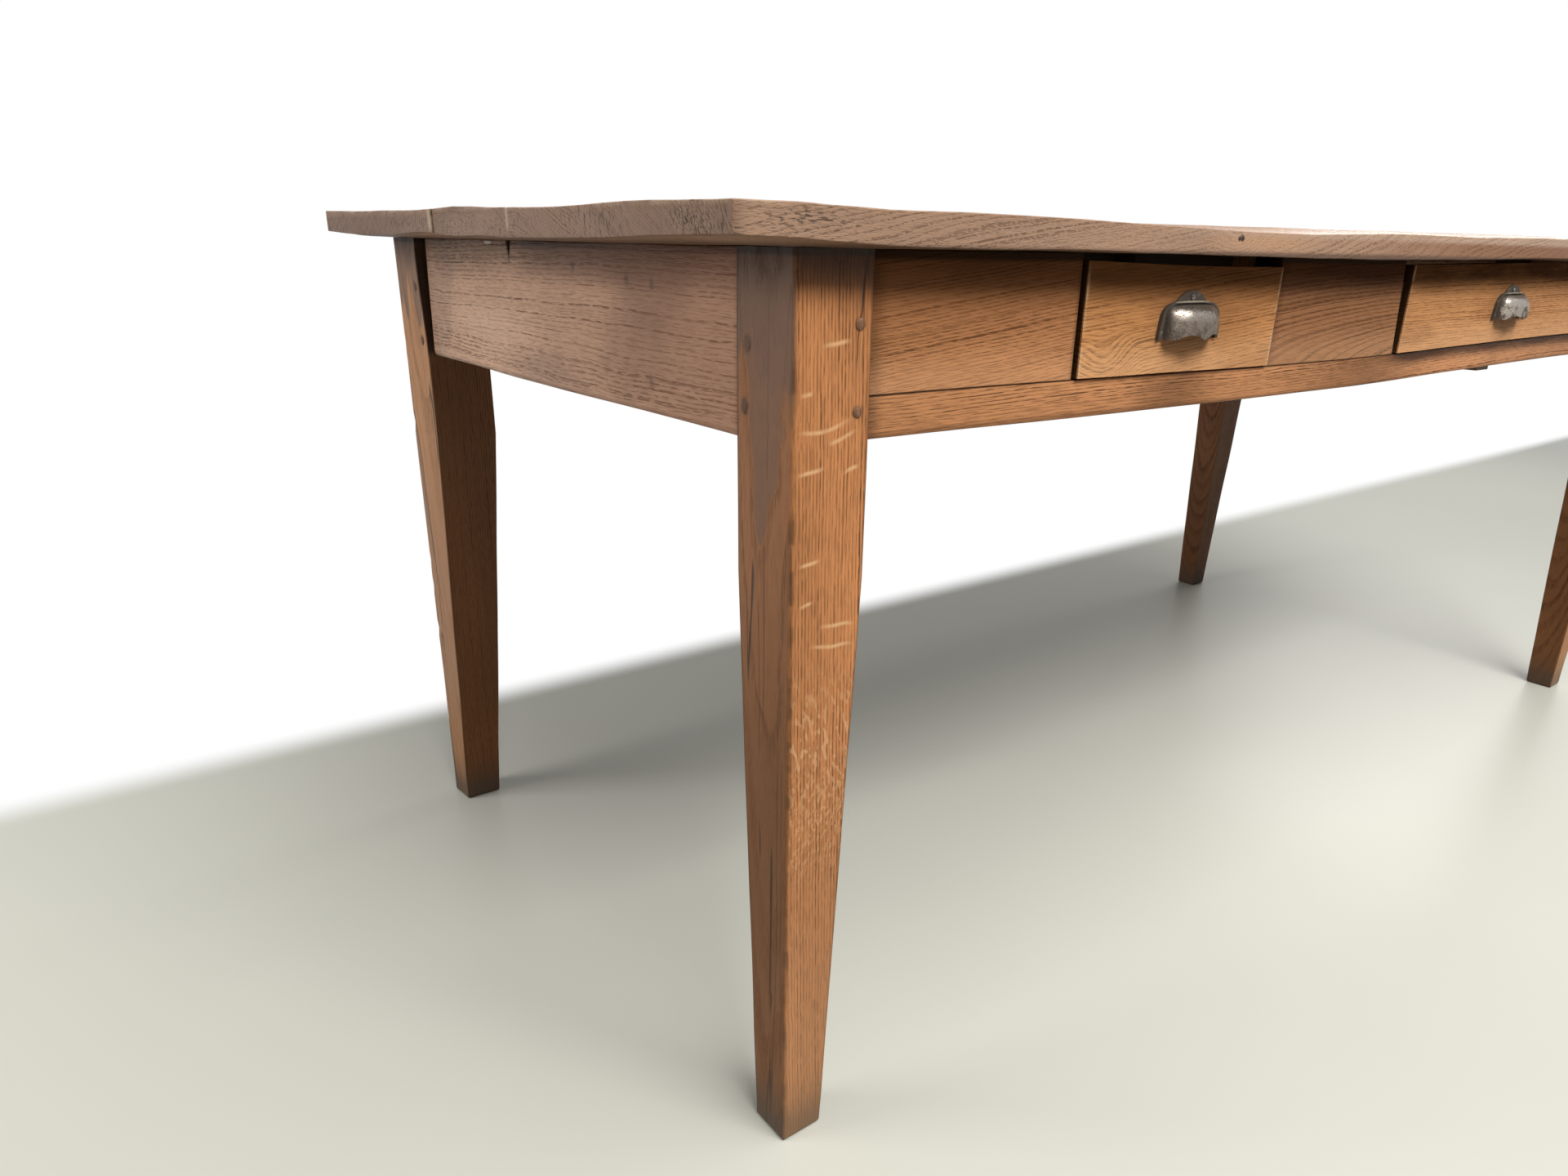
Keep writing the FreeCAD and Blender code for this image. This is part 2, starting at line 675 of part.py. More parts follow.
front_span_x = (leg_inner_x("left", "front"), leg_inner_x("right", "front"))
rear_span_x = (leg_inner_x("left", "rear"), leg_inner_x("right", "rear"))
boards = {
    "end_apron_left": end_apron("left"),
    "end_apron_right": end_apron("right"),
    "rear_apron": long_board(rear_span_x, "rear", board_span_z,
                             [("left", tenon_span_z), ("right", tenon_span_z)]),
    "front_panel_left": long_board(panel_left_x, "front", (rail_top, frame_height),
                                   [("left", panel_tenon_z)]),
    "front_panel_middle": long_board(panel_middle_x, "front", (rail_top, frame_height), []),
    "front_panel_right": long_board(panel_right_x, "front", (rail_top, frame_height),
                                    [("right", panel_tenon_z)]),
}
out_of_square = prism([(panel_middle_x[1], front_face_y, rail_top),
                       (panel_middle_x[1], front_face_y, frame_height),
                       (panel_middle_x[1] - middle_panel_slope, front_face_y, frame_height)],
                      (0, apron_thickness, 0))
boards["front_panel_middle"] = boards["front_panel_middle"].cut(out_of_square)
front_rail = long_board(front_span_x, "front", (apron_low, rail_top),
                        [("left", rail_tenon_z), ("right", rail_tenon_z)])

panel_dowels = []
for name, span_x in (("front_panel_left", panel_left_x), ("front_panel_middle", panel_middle_x),
                     ("front_panel_right", panel_right_x)):
    panel_dowels += dowels(span_x)
    for hole in dowels(span_x, joint_fit):
        boards[name] = boards[name].cut(hole)
        front_rail = front_rail.cut(hole)

runner_spans = {}
for drawer_name, drawer_x in (("small_drawer", small_drawer_x), ("wide_drawer", wide_drawer_x)):
    for side, span_x in drawer_runner_spans(drawer_x).items():
        runner_spans[drawer_name + "_runner_" + side] = (span_x, runner_thickness)
runner_spans["wide_drawer_runner_centre"] = (
    (centre_runner_x - centre_runner_width / 2, centre_runner_x + centre_runner_width / 2),
    centre_runner_height)
for name, (span_x, height) in runner_spans.items():
    nodes[name] = runner(span_x, height)
    for socket in runner_stubs(span_x, joint_fit, mortise_spare):
        front_rail = front_rail.cut(socket)
        boards["rear_apron"] = boards["rear_apron"].cut(socket)

all_guide_nails = []
for drawer_name, drawer_x in (("small_drawer", small_drawer_x), ("wide_drawer", wide_drawer_x)):
    stops = []
    for side in sides:
        guide = block(guide_span(drawer_x, side), (front_inner_y, rear_inner_y),
                      (rail_top, rail_top + guide_height))
        runner_name = drawer_name + "_runner_" + side
        for hole in guide_nails(drawer_x, side, joint_fit):
            guide = guide.cut(hole)
            nodes[runner_name] = nodes[runner_name].cut(hole)
        all_guide_nails += guide_nails(drawer_x, side)
        nodes[drawer_name + "_guide_" + side] = guide
        stop_y = (drawer_end_y + stop_gap, drawer_end_y + stop_gap + stop_length)
        stops.append(block(drawer_side_span(drawer_x, side), stop_y, (rail_top, rail_top + stop_height)))
    nodes[drawer_name + "_stops"] = stops
    nodes.update(drawer(drawer_name, drawer_x))
nodes["wide_drawer_bearing_strip"] = block(
    (centre_runner_x - bearing_strip_width / 2, centre_runner_x + bearing_strip_width / 2),
    (drawer_front_back_y, drawer_end_y - drawer_back_from_end - drawer_back_thickness),
    (drawer_side_z[0], drawer_bottom_z[0]))

for name, board in boards.items():
    for place in button_places:
        board = board.cut(button_slot(place))
    nodes[name] = board
nodes["front_rail"] = front_rail
nodes["panel_dowels"] = panel_dowels
nodes["guide_nails"] = all_guide_nails
nodes["top_buttons"] = [button(place) for place in button_places]
nodes["top_button_screws"] = [button_screw(place) for place in button_places]

os.makedirs("parts", exist_ok=True)
for name, pieces in nodes.items():
    save(name, pieces)
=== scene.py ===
import math

import bmesh
import bpy
from mathutils import Matrix, Vector, noise


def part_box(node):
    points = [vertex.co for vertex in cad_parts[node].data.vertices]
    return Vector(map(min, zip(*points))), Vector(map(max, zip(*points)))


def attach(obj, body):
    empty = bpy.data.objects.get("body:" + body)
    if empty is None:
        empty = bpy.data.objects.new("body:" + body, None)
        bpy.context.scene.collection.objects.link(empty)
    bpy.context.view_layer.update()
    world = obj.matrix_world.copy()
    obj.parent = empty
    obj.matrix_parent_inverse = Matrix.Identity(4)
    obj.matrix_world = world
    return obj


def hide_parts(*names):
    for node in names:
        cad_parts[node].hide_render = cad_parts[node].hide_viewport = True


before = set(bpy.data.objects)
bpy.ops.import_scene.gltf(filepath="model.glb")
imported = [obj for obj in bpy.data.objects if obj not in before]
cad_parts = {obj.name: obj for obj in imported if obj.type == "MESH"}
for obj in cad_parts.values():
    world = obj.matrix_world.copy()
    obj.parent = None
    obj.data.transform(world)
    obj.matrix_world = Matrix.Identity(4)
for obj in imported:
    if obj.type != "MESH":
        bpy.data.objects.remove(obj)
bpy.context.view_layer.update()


# Legs
# Four legs of solid oak, square at the top and tapered on their two inner faces down to a chamfered foot.
# Sawn, planed and waxed by hand; their outer corners are worn round and dented.
class Socket:
    """One output of a material's nodes. Arithmetic on it adds Math nodes."""

    def __init__(self, tree, output=None):
        self.tree = tree
        self.output = output

    def add(self, kind, settings, sockets, result=0):
        """Add a node: its settings first, then the values or links of its sockets."""
        node = self.tree.nodes.new(kind)
        for setting, value in settings.items():
            setattr(node, setting, value)
        for place, value in sockets.items():
            if isinstance(value, Socket):
                self.tree.links.new(value.output, node.inputs[place])
            else:
                node.inputs[place].default_value = value
        return Socket(self.tree, node.outputs[result])

    def math(self, operation, *values):
        return self.add("ShaderNodeMath", {"operation": operation}, dict(enumerate(values)))

    def axes(self):
        """The x, y and z of this place."""
        first = self.add("ShaderNodeSeparateXYZ", {}, {0: self})
        return [Socket(self.tree, output) for output in first.output.node.outputs]

    def cloud(self, scale, detail, roughness=0.5):
        """Noise over this place."""
        return self.add("ShaderNodeTexNoise", {}, {"Vector": self, "Scale": scale, "Detail": detail,
                                                   "Roughness": roughness})

    def relief(self, distance, strength):
        """The normal of a surface with this height."""
        return self.add("ShaderNodeBump", {}, {"Height": self, "Distance": distance, "Strength": strength})

    def feed(self, surface, place):
        """Link this to one of a shader's sockets."""
        self.tree.links.new(self.output, surface.inputs[place])

    def __add__(self, other):
        return self.math("ADD", self, other)

    def __radd__(self, other):
        return self.math("ADD", other, self)

    def __sub__(self, other):
        return self.math("SUBTRACT", self, other)

    def __rsub__(self, other):
        return self.math("SUBTRACT", other, self)

    def __mul__(self, other):
        return self.math("MULTIPLY", self, other)

    def __rmul__(self, other):
        return self.math("MULTIPLY", other, self)

    def __truediv__(self, other):
        return self.math("DIVIDE", self, other)

    def rise(self, low, high):
        """Smooth step from 0 at low to 1 at high; low may be the larger."""
        return self.add("ShaderNodeMapRange", {"interpolation_type": "SMOOTHSTEP"},
                        {"Value": self, "From Min": low, "From Max": high})

    def near(self, place, reach):
        """1 at a place along this coordinate, fading to 0 at a distance."""
        return self.math("ABSOLUTE", self - place).rise(reach, 0.0)

    def most(self, other):
        return self.math("MAXIMUM", self, other)

    def tint(self, paint, share):
        """This colour, mixed with another by a share."""
        return self.add("ShaderNodeMix", {"data_type": "RGBA"}, {0: share, 6: self, 7: paint}, 2)

    def shade(self, light):
        """This colour, darkened or lightened by a number."""
        return self.add("ShaderNodeMix", {"data_type": "RGBA", "blend_type": "MULTIPLY"},
                        {0: 1.0, 6: self, 7: light}, 2)

    def plain(self, paint):
        """An even colour to start from."""
        return self.add("ShaderNodeMix", {"data_type": "RGBA"}, {0: 0.0, 6: paint, 7: paint}, 2)


def new_material(name):
    """A new material: itself, its surface, and the place on the piece."""
    material = bpy.data.materials.new(name)
    material.use_nodes = True
    place = Socket(material.node_tree).add("ShaderNodeTexCoord", {}, {}, "Object")
    return material, material.node_tree.nodes["Principled BSDF"], place


class Oak:
    """Solid oak round a heart line: years' rings, open pores, rays, cracks, soil, painted shade and wear."""

    def __init__(self, name, grain, heart, late, early, pore=(0.075, 0.033, 0.014, 1), ring=0.0032,
                 wander=0.012, waves=1.6, curl=0.0010, pores=0.85, pore_length=0.022, contrast=0.6,
                 tilt=(0.0, 0.0), uneven_years=1.1, knots=(), seed=0.0):
        self.material, self.surface, place = new_material(name)
        self.axes = place.axes()
        order = {"x": (0, 1, 2), "y": (1, 2, 0), "z": (2, 0, 1)}[grain]
        self.along = self.axes[order[0]]
        self.across = self.axes[order[1]]
        self.through = self.axes[order[2]]
        self.seed = seed
        drift = self.speckle(waves, waves * 4.5, 2.0) - 0.5
        ripple = self.speckle(16.0, 38.0, 1.0) - 0.5
        first = self.across - heart[0] - self.along * tilt[0]
        second = self.through - heart[1] - self.along * tilt[1]
        radius = place.math("SQRT", first * first + second * second)
        for middle, reach, push in knots:
            radius = radius + self.round_spot(middle, reach) * push
        years = (radius + drift * (2 * wander) + ripple * (2 * curl)) / ring
        uneven = place.add("ShaderNodeTexNoise", {"noise_dimensions": "1D"},
                           {"W": years * 0.33, "Detail": 1.0})
        years = years + (uneven - 0.5) * uneven_years
        year = place.math("FRACT", years)
        count = place.math("FLOOR", years)
        self.kind = place.add("ShaderNodeTexWhiteNoise", {"noise_dimensions": "1D"}, {"W": count + seed})
        patchy = self.speckle(7.0, 34.0, 2.0).rise(0.30, 0.60)
        band = year.rise(0.0, 0.08) * year.rise(0.54, 0.16)
        self.early = band * (0.4 + 0.6 * self.kind) * (0.55 + 0.45 * patchy)
        dashes = self.speckle(1 / pore_length, 560.0, 1.0).rise(0.43, 0.57)
        hairs = self.speckle(0.8 / pore_length, 1300.0, 2.0).rise(0.50, 0.66)
        self.pores = (dashes * self.early).most(hairs * (0.34 + 0.5 * self.early))
        self.fibre = self.speckle(24.0, 2600.0, 2.0)
        blotch = self.speckle(2.6, 11.0, 3.0)
        colour = place.plain(late).tint(early, self.early * contrast)
        colour = colour.shade(0.60 + 0.80 * blotch).shade(0.76 + 0.48 * self.fibre)
        self.colour = colour.tint(pore, self.pores * pores)
        self.height = self.fibre * 0.25 - self.pores * 0.8 - self.early * 0.15
        self.roughness = 0.5 + self.pores * 0.25 - blotch * 0.1

    def speckle(self, along, across, detail, shear=0.0):
        """Noise with its own fineness along and across the grain."""
        first = self.along * along + self.across * (shear * along)
        place = first.add("ShaderNodeCombineXYZ", {},
                          {0: first + self.seed, 1: self.across * across, 2: self.through * across})
        return place.cloud(1.0, detail)

    def round_spot(self, middle, reach):
        """1 at a point of the piece, fading to 0 at its own reach in x, y and z."""
        parts = [(axis - spot) / size for axis, spot, size in zip(self.axes, middle, reach)]
        apart = parts[0] * parts[0] + parts[1] * parts[1] + parts[2] * parts[2]
        return apart.math("SQRT", apart).rise(1.0, 0.0)

    def stain(self, paint, share):
        """Another colour, mixed in by a share."""
        self.colour = self.colour.tint(paint, share)

    def ray(self, face, begin, end, bow, paint, half_width=0.0025):
        """One pale ray from a place to another, given across and along the grain."""
        share = (self.across - begin[0]) / (end[0] - begin[0])
        waver = (self.speckle(9.0, 42.0, 0.0) - 0.5) * 0.008
        line = begin[1] + (end[1] - begin[1]) * share + 4 * bow * share * (1 - share) + waver
        body = (self.along - line).near(0.0, half_width) * share.rise(-0.02, 0.30) * share.rise(1.02, 0.65)
        broken = self.speckle(45.0, 160.0, 2.0).rise(0.20, 0.55)
        self.stain(paint, body * (0.5 + 0.5 * broken) * face * 0.95)

    def splits(self, face, fineness, share, width):
        """Thin dark drying cracks along the grain on one face."""
        field = self.speckle(2.2, fineness, 1.0)
        thin = self.along.math("ABSOLUTE", field - 0.5).rise(width, 0.2 * width)
        kept = self.speckle(5.0, 40.0, 1.0).rise(1.0 - share, 1.06 - share)
        crack = thin * kept * face
        self.stain(crack_dark, crack * 0.85)
        self.height = self.height - crack * 1.6

    def soil_and_shade(self, mask, paint, share):
        """Darken where a mask says, broken by the grain: dirt and old polish, and painted shade too."""
        amount = mask * (0.55 + 0.9 * self.speckle(12.0, 60.0, 3.0)) * share
        self.stain(paint, self.along.math("MINIMUM", amount, 0.95))

    def wear(self, mask, paint, share):
        """Rubbed, paler wood where a mask says."""
        amount = mask * self.speckle(30.0, 60.0, 3.0).rise(0.35, 0.65) * share
        self.stain(paint, amount)

    def done(self, depth=0.0007, strength=0.55, shine=0.22):
        """Link the colour, the roughness and the relief to the surface."""
        self.colour.feed(self.surface, "Base Color")
        self.roughness.feed(self.surface, "Roughness")
        self.height.relief(depth, strength).feed(self.surface, "Normal")
        self.surface.inputs["Specular IOR Level"].default_value = shine
        return self.material


def cut_across(shape, axis, places):
    """Cut a mesh through at places along an axis, so that it can bend there."""
    normal = Vector((axis == 0, axis == 1, axis == 2))
    for place in places:
        parts = shape.verts[:] + shape.edges[:] + shape.faces[:]
        bmesh.ops.bisect_plane(shape, geom=parts, dist=1e-6, plane_co=normal * place, plane_no=normal)


def between(low, high, count):
    """Evenly spaced places inside a span."""
    return [low + (high - low) * step / count for step in range(1, count)]


def sawn(low, high):
    """A block of wood from corner to corner."""
    shape = bmesh.new()
    bmesh.ops.create_cube(shape, size=1.0)
    bmesh.ops.scale(shape, vec=high - low, verts=shape.verts)
    bmesh.ops.translate(shape, vec=(low + high) / 2, verts=shape.verts)
    return shape


def take_off(shape, edges, width, rounds):
    """Take the sharpness off some edges."""
    bmesh.ops.bevel(shape, geom=edges, offset=width, offset_type="OFFSET", segments=rounds, profile=0.5,
                    affect="EDGES", material=-1, clamp_overlap=True)


unevenness_seed = 7
noise.seed_set(unevenness_seed)


def smooth_step(share):
    """Ease from 0 to 1, and stay there outside."""
    share = min(1.0, max(0.0, share))
    return share * share * (3 - 2 * share)


def unevenness(point, fineness, amount):
    """Small steady irregularity of hand-planed wood at a point."""
    return noise.noise_vector(point * fineness) * amount


def upright_edges(shape, least_rise):
    """The edges that climb by more than a least rise."""
    return [edge for edge in shape.edges if abs(edge.verts[0].co.z - edge.verts[1].co.z) > least_rise]


def put_in_place(name, shape, body, nodes, material):
    """Make the mesh an object that rides on a body in place of its CAD nodes."""
    bmesh.ops.recalc_face_normals(shape, faces=shape.faces)
    mesh = bpy.data.meshes.new(name)
    for face in shape.faces:
        face.smooth = True
    shape.to_mesh(mesh)
    shape.free()
    mesh.set_sharp_from_angle(angle=math.radians(40))
    mesh.materials.append(material)
    piece = bpy.data.objects.new(name, mesh)
    bpy.context.scene.collection.objects.link(piece)
    even = piece.modifiers.new("even shading", "WEIGHTED_NORMAL")
    even.keep_sharp = True
    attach(piece, body)
    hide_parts(*nodes)


leg_taper_start = 0.505
leg_foot = 0.040
foot_chamfer = 0.004
worn_corner = 0.0042
kept_corner = 0.0010
dent_depth = 0.0028
warp_top = 0.70
warp_bottom = 0.60
face_reach = 0.003
touch = 0.001
foot_kept_z = 0.006
leg_cuts_from_z = 0.02
dent_reach = 0.007
face_peg_ring = (0.0068, 0.0068, 0.0068)
end_peg_ring = (0.007, 0.0064, 0.0098)
leg_late = (0.56, 0.236, 0.089, 1)
leg_early = (0.33, 0.124, 0.042, 1)
ray_pale = (0.78, 0.46, 0.23, 1)
face_peg_heights = (0.683, 0.625)
end_brown = (0.190, 0.084, 0.036, 1)
end_low_brown = (0.130, 0.050, 0.014, 1)
end_faded = (0.43, 0.235, 0.115, 1)
end_grey = (0.142, 0.088, 0.063, 1)
inner_face_shade_brown = (0.070, 0.024, 0.006, 1)
low_pale = (0.52, 0.29, 0.15, 1)
floor_dirt = (0.10, 0.06, 0.035, 1)
foot_grey = (0.095, 0.066, 0.045, 1)
crack_dark = (0.03, 0.015, 0.008, 1)
# Near black for cracks, pits, knots and joints; also painted shade in gaps and hollows.
marks_and_gap_shade_dark = (0.022, 0.010, 0.005, 1)
# Dark old polish; also painted shade at the tops of boards, under the overhanging top.
polish_and_shade_dark = (0.07, 0.033, 0.016, 1)
shadow_brown = (0.050, 0.015, 0.003, 1)
legs = {
    "front_left": {
        "way": (-1, -1), "heart": (-0.755, -0.362), "foot": 0.040, "turned": 0.0, "peg_x": -0.834,
        "dark": 0.66, "faded": 0.0, "seed": 3.0, "end_pegs": ((-0.3385, 0.668), (-0.3350, 0.626)),
        "rays": (((-0.886, 0.616), (-0.836, 0.622), -0.003), ((-0.860, 0.607), (-0.8325, 0.6146), -0.002),
                 ((-0.8856, 0.5866), (-0.860, 0.5916), -0.001), ((-0.8455, 0.5845), (-0.8296, 0.589), 0.001),
                 ((-0.883, 0.5225), (-0.862, 0.526), -0.001), ((-0.864, 0.474), (-0.8285, 0.471), 0.002),
                 ((-0.873, 0.458), (-0.828, 0.455), 0.002), ((-0.867, 0.671), (-0.840, 0.670), 0.001),
                 ((-0.882, 0.4905), (-0.868, 0.4935), 0.0), ((-0.884, 0.640), (-0.872, 0.642), 0.0))},
    "front_right": {
        "way": (1, -1), "heart": (0.760, -0.350), "foot": 0.040, "turned": 0.0, "peg_x": 0.834,
        "dark": 0.60, "faded": 0.0, "seed": 17.0, "end_pegs": ((-0.3365, 0.668), (-0.3340, 0.626)),
        "rays": (((0.832, 0.560), (0.880, 0.566), 0.003), ((0.836, 0.530), (0.868, 0.533), -0.002),
                 ((0.850, 0.478), (0.885, 0.474), 0.002))},
    "rear_left": {
        "way": (-1, 1), "heart": (-0.760, 0.350), "foot": 0.045, "turned": 0.003, "peg_x": -0.827,
        "dark": 0.05, "faded": 0.55, "seed": 29.0, "end_pegs": ((0.338, 0.678), (0.338, 0.618)),
        "rays": (((-0.884, 0.602), (-0.850, 0.607), 0.002), ((-0.878, 0.545), (-0.842, 0.541), -0.002))},
    "rear_right": {
        "way": (1, 1), "heart": (0.755, 0.362), "foot": 0.040, "turned": 0.0, "peg_x": 0.834,
        "dark": 0.50, "faded": 0.0, "seed": 41.0, "end_pegs": ((0.338, 0.678), (0.338, 0.618)),
        "rays": (((0.838, 0.588), (0.872, 0.592), 0.002), ((0.844, 0.500), (0.884, 0.496), -0.002))},
}


def outer_corner(corner):
    """The x of a leg's end face and the y of its long face, both outside."""
    low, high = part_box("leg_" + corner)
    way_x, way_y = legs[corner]["way"]
    return low.x if way_x < 0 else high.x, low.y if way_y < 0 else high.y


def turned_by(facts, inward, z):
    """How far a leg has warped along x, at a share of its depth from its long face and at a height."""
    lower = smooth_step((warp_top - z) / (warp_top - warp_bottom))
    return facts["way"][0] * facts["turned"] * (1 - inward - inward * lower)


for corner, facts in legs.items():
    low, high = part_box("leg_" + corner)
    way_x, way_y = facts["way"]
    outer_x, outer_y = outer_corner(corner)
    full_x = high.x - low.x
    full_y = high.y - low.y
    leg = sawn(low, high)
    cut_across(leg, 2, [leg_taper_start])
    for vertex in leg.verts:
        narrow = max(0.0, 1 - vertex.co.z / leg_taper_start)
        from_x = (outer_x - vertex.co.x) * way_x
        from_y = (outer_y - vertex.co.y) * way_y
        if from_x > touch:
            vertex.co.x = outer_x - way_x * (full_x + (facts["foot"] - full_x) * narrow)
        if from_y > touch:
            vertex.co.y = outer_y - way_y * (full_y + (leg_foot - full_y) * narrow)
    foot_edges = [edge for edge in leg.edges if all(vertex.co.z < touch for vertex in edge.verts)]
    take_off(leg, foot_edges, foot_chamfer, 2)
    outer_edge = Vector((outer_x, outer_y))
    worn = [edge for edge in upright_edges(leg, 0.05)
            if all((vertex.co.xy - outer_edge).length < face_reach for vertex in edge.verts)]
    take_off(leg, worn, worn_corner, 4)
    others = [edge for edge in upright_edges(leg, 0.05) if edge.calc_face_angle(0.0) > 1.0]
    take_off(leg, others, kept_corner, 2)
    cut_across(leg, 2, between(leg_cuts_from_z, high.z, 60))
    for vertex in leg.verts:
        if foot_kept_z < vertex.co.z < high.z - touch:
            vertex.co += unevenness(vertex.co, 9.0, 0.0007) * Vector((1, 1, 0))
            if (vertex.co.xy - outer_edge).length < dent_reach:
                dent = max(0.0, noise.noise(Vector((way_x, way_y * 3, vertex.co.z * 55))) - 0.25)
                vertex.co -= Vector((way_x, way_y, 0)) * (dent * dent_depth)
        vertex.co.x += turned_by(facts, (outer_y - vertex.co.y) * way_y / full_y, vertex.co.z)
    wood = Oak("oak_leg_" + corner, "z", facts["heart"], leg_late, leg_early, seed=facts["seed"],
               wander=0.0055, ring=0.0030, pores=1.0, pore_length=0.014, contrast=0.85, uneven_years=0.45,
               tilt=(0.022 * way_x, 0.0))
    x, y, z = wood.axes
    if facts["turned"]:
        inward = (outer_y - y) * (way_y / full_y)
        x = x - (1 - inward - inward * z.rise(warp_top, warp_bottom)) * (way_x * facts["turned"])
    long_face = y.near(outer_y, face_reach)
    end_face = x.near(outer_x, face_reach)
    for begin, end, bow in facts["rays"]:
        wood.ray(long_face, begin, end, bow, ray_pale)
    small_rays = wood.speckle(105.0, 230.0, 1.0, 1.1).rise(0.55, 0.62) * z.near(0.375, 0.085)
    tiny_rays = wood.speckle(190.0, 420.0, 1.0, -0.8).rise(0.55, 0.62) * z.near(0.315, 0.085)
    wood.stain(ray_pale, small_rays.most(tiny_rays * 0.8) * long_face * 0.6)
    flames = wood.speckle(9.0, 60.0, 1.0) - 0.5
    grey_years = wood.kind.rise(0.55, 0.62) * 0.8 * z.rise(0.30, 0.42)
    greyed = (z + flames * 0.16).rise(0.640, 0.660).most(grey_years)
    wood.stain(end_brown, end_face * facts["dark"])
    wood.stain(end_low_brown, end_face * z.rise(0.55, 0.30) * 0.6)
    wood.stain(end_faded, end_face * facts["faded"])
    wood.stain(end_grey, greyed * end_face * 0.75)
    narrowing = (1 - z / leg_taper_start).most(0.0)
    inside_y = outer_y - way_y * full_y + way_y * (full_y - leg_foot) * narrowing
    inside_x = outer_x - way_x * full_x + way_x * (full_x - facts["foot"]) * narrowing
    inner_long_face = (y - inside_y).near(0.0, face_reach)
    inner_end_face = (x - inside_x).near(0.0, face_reach)
    # Painted shade: the leg's inner faces are darkened as they stand in shadow under the table.
    wood.stain(inner_face_shade_brown, inner_long_face.most(inner_end_face) * 0.76)
    # Painted shade on the inner face beside the apron, seen in shadow through the gap.
    beside_apron = inner_long_face * z.rise(0.598, 0.608)
    wood.stain(marks_and_gap_shade_dark, beside_apron * 0.85)
    wood.splits(end_face, 70.0, 0.52, 0.014)
    above_peg = z - face_peg_heights[0]
    crack_x = facts["peg_x"] - above_peg * (0.10 * way_x) + (wood.speckle(30.0, 0.0, 1.0) - 0.5) * 0.004
    crack_width = 0.0009 + above_peg.most(0.0) * 0.055
    crack = (x - crack_x).near(0.0, crack_width) * z.rise(0.648, 0.664) * long_face
    wood.stain(marks_and_gap_shade_dark, crack * 0.9)
    wood.height = wood.height - crack * 1.5
    wood.soil_and_shade(z.rise(0.070, 0.010), floor_dirt, 0.75)
    wood.soil_and_shade((z + flames * 0.03).rise(0.034, 0.010), foot_grey, 0.6)
    edge_x = x.near(outer_x, 0.005)
    edge_y = y.near(outer_y, 0.005)
    wood.soil_and_shade(edge_x * edge_y * wood.speckle(38.0, 20.0, 2.0).rise(0.50, 0.62), polish_and_shade_dark, 0.8)
    # Painted shade of the overhanging top: the leg darkens towards its top.
    wood.soil_and_shade(z.rise(0.692, 0.732), polish_and_shade_dark, 0.7)
    wood.soil_and_shade(z.rise(0.694, 0.724) * long_face, shadow_brown, 0.9)
    wood.stain(low_pale, z.rise(0.36, 0.06) * long_face * 0.35)
    # Painted shade: a near black band at the very top, in the gap under the top.
    wood.stain(marks_and_gap_shade_dark, z.rise(0.7235, 0.7270) * 0.85)
    for height in face_peg_heights:
        round_peg = wood.round_spot((facts["peg_x"], outer_y, height), face_peg_ring)
        wood.soil_and_shade(round_peg, polish_and_shade_dark, 0.8)
    for place_y, height in facts["end_pegs"]:
        round_peg = wood.round_spot((outer_x, place_y, height), end_peg_ring)
        wood.soil_and_shade(round_peg, marks_and_gap_shade_dark, 1.0)
    put_in_place("leg_" + corner + "_oak", leg, "table_frame", ["leg_" + corner], wood.done())


# Pegs
# Whittled oak pins driven through the legs to hold the tenons. They stand a little proud.
# Two come through the face of each leg, and two, darker ones, through its end.
peg_radius = 0.0041
peg_shown_length = 0.012
peg_tip_inset = 0.3
peg_tip_rise = 0.4
peg_reach = 0.02
face_peg_proud = 0.0006
face_peg_dome = 0.0007
end_peg_proud = 0.0002
end_peg_dome = 0.0004
end_peg_height_share = 1.35
peg_late = (0.42, 0.21, 0.122, 1)
peg_early = (0.23, 0.115, 0.065, 1)


def whittle(shape, place, out, proud, roundness, tall=1.0):
    """One peg end at a place, pointing out of the leg; a tall one is oval."""
    turn = Vector(out).to_track_quat("Z", "Y").to_matrix().to_4x4()
    middle = Vector(place) + Vector(out) * (proud - peg_shown_length / 2)
    made = bmesh.ops.create_cone(shape, cap_ends=True, segments=12, radius1=peg_radius, radius2=peg_radius,
                                 depth=peg_shown_length, matrix=Matrix.Translation(middle) @ turn)
    tip = [face for face in {face for vertex in made["verts"] for face in vertex.link_faces}
           if face.normal.dot(Vector(out)) > 0.9]
    for rise in (roundness, roundness * peg_tip_rise):
        bmesh.ops.inset_region(shape, faces=tip, thickness=peg_radius * peg_tip_inset, depth=rise)
    near = [vertex for vertex in shape.verts if (vertex.co - Vector(place)).length < peg_reach]
    bmesh.ops.scale(shape, vec=(1, 1, tall), space=Matrix.Translation(-Vector(place)), verts=near)


def roughen(shape, fineness, amount):
    """Make a whole piece a little uneven."""
    for vertex in shape.verts:
        vertex.co += unevenness(vertex.co, fineness, amount)


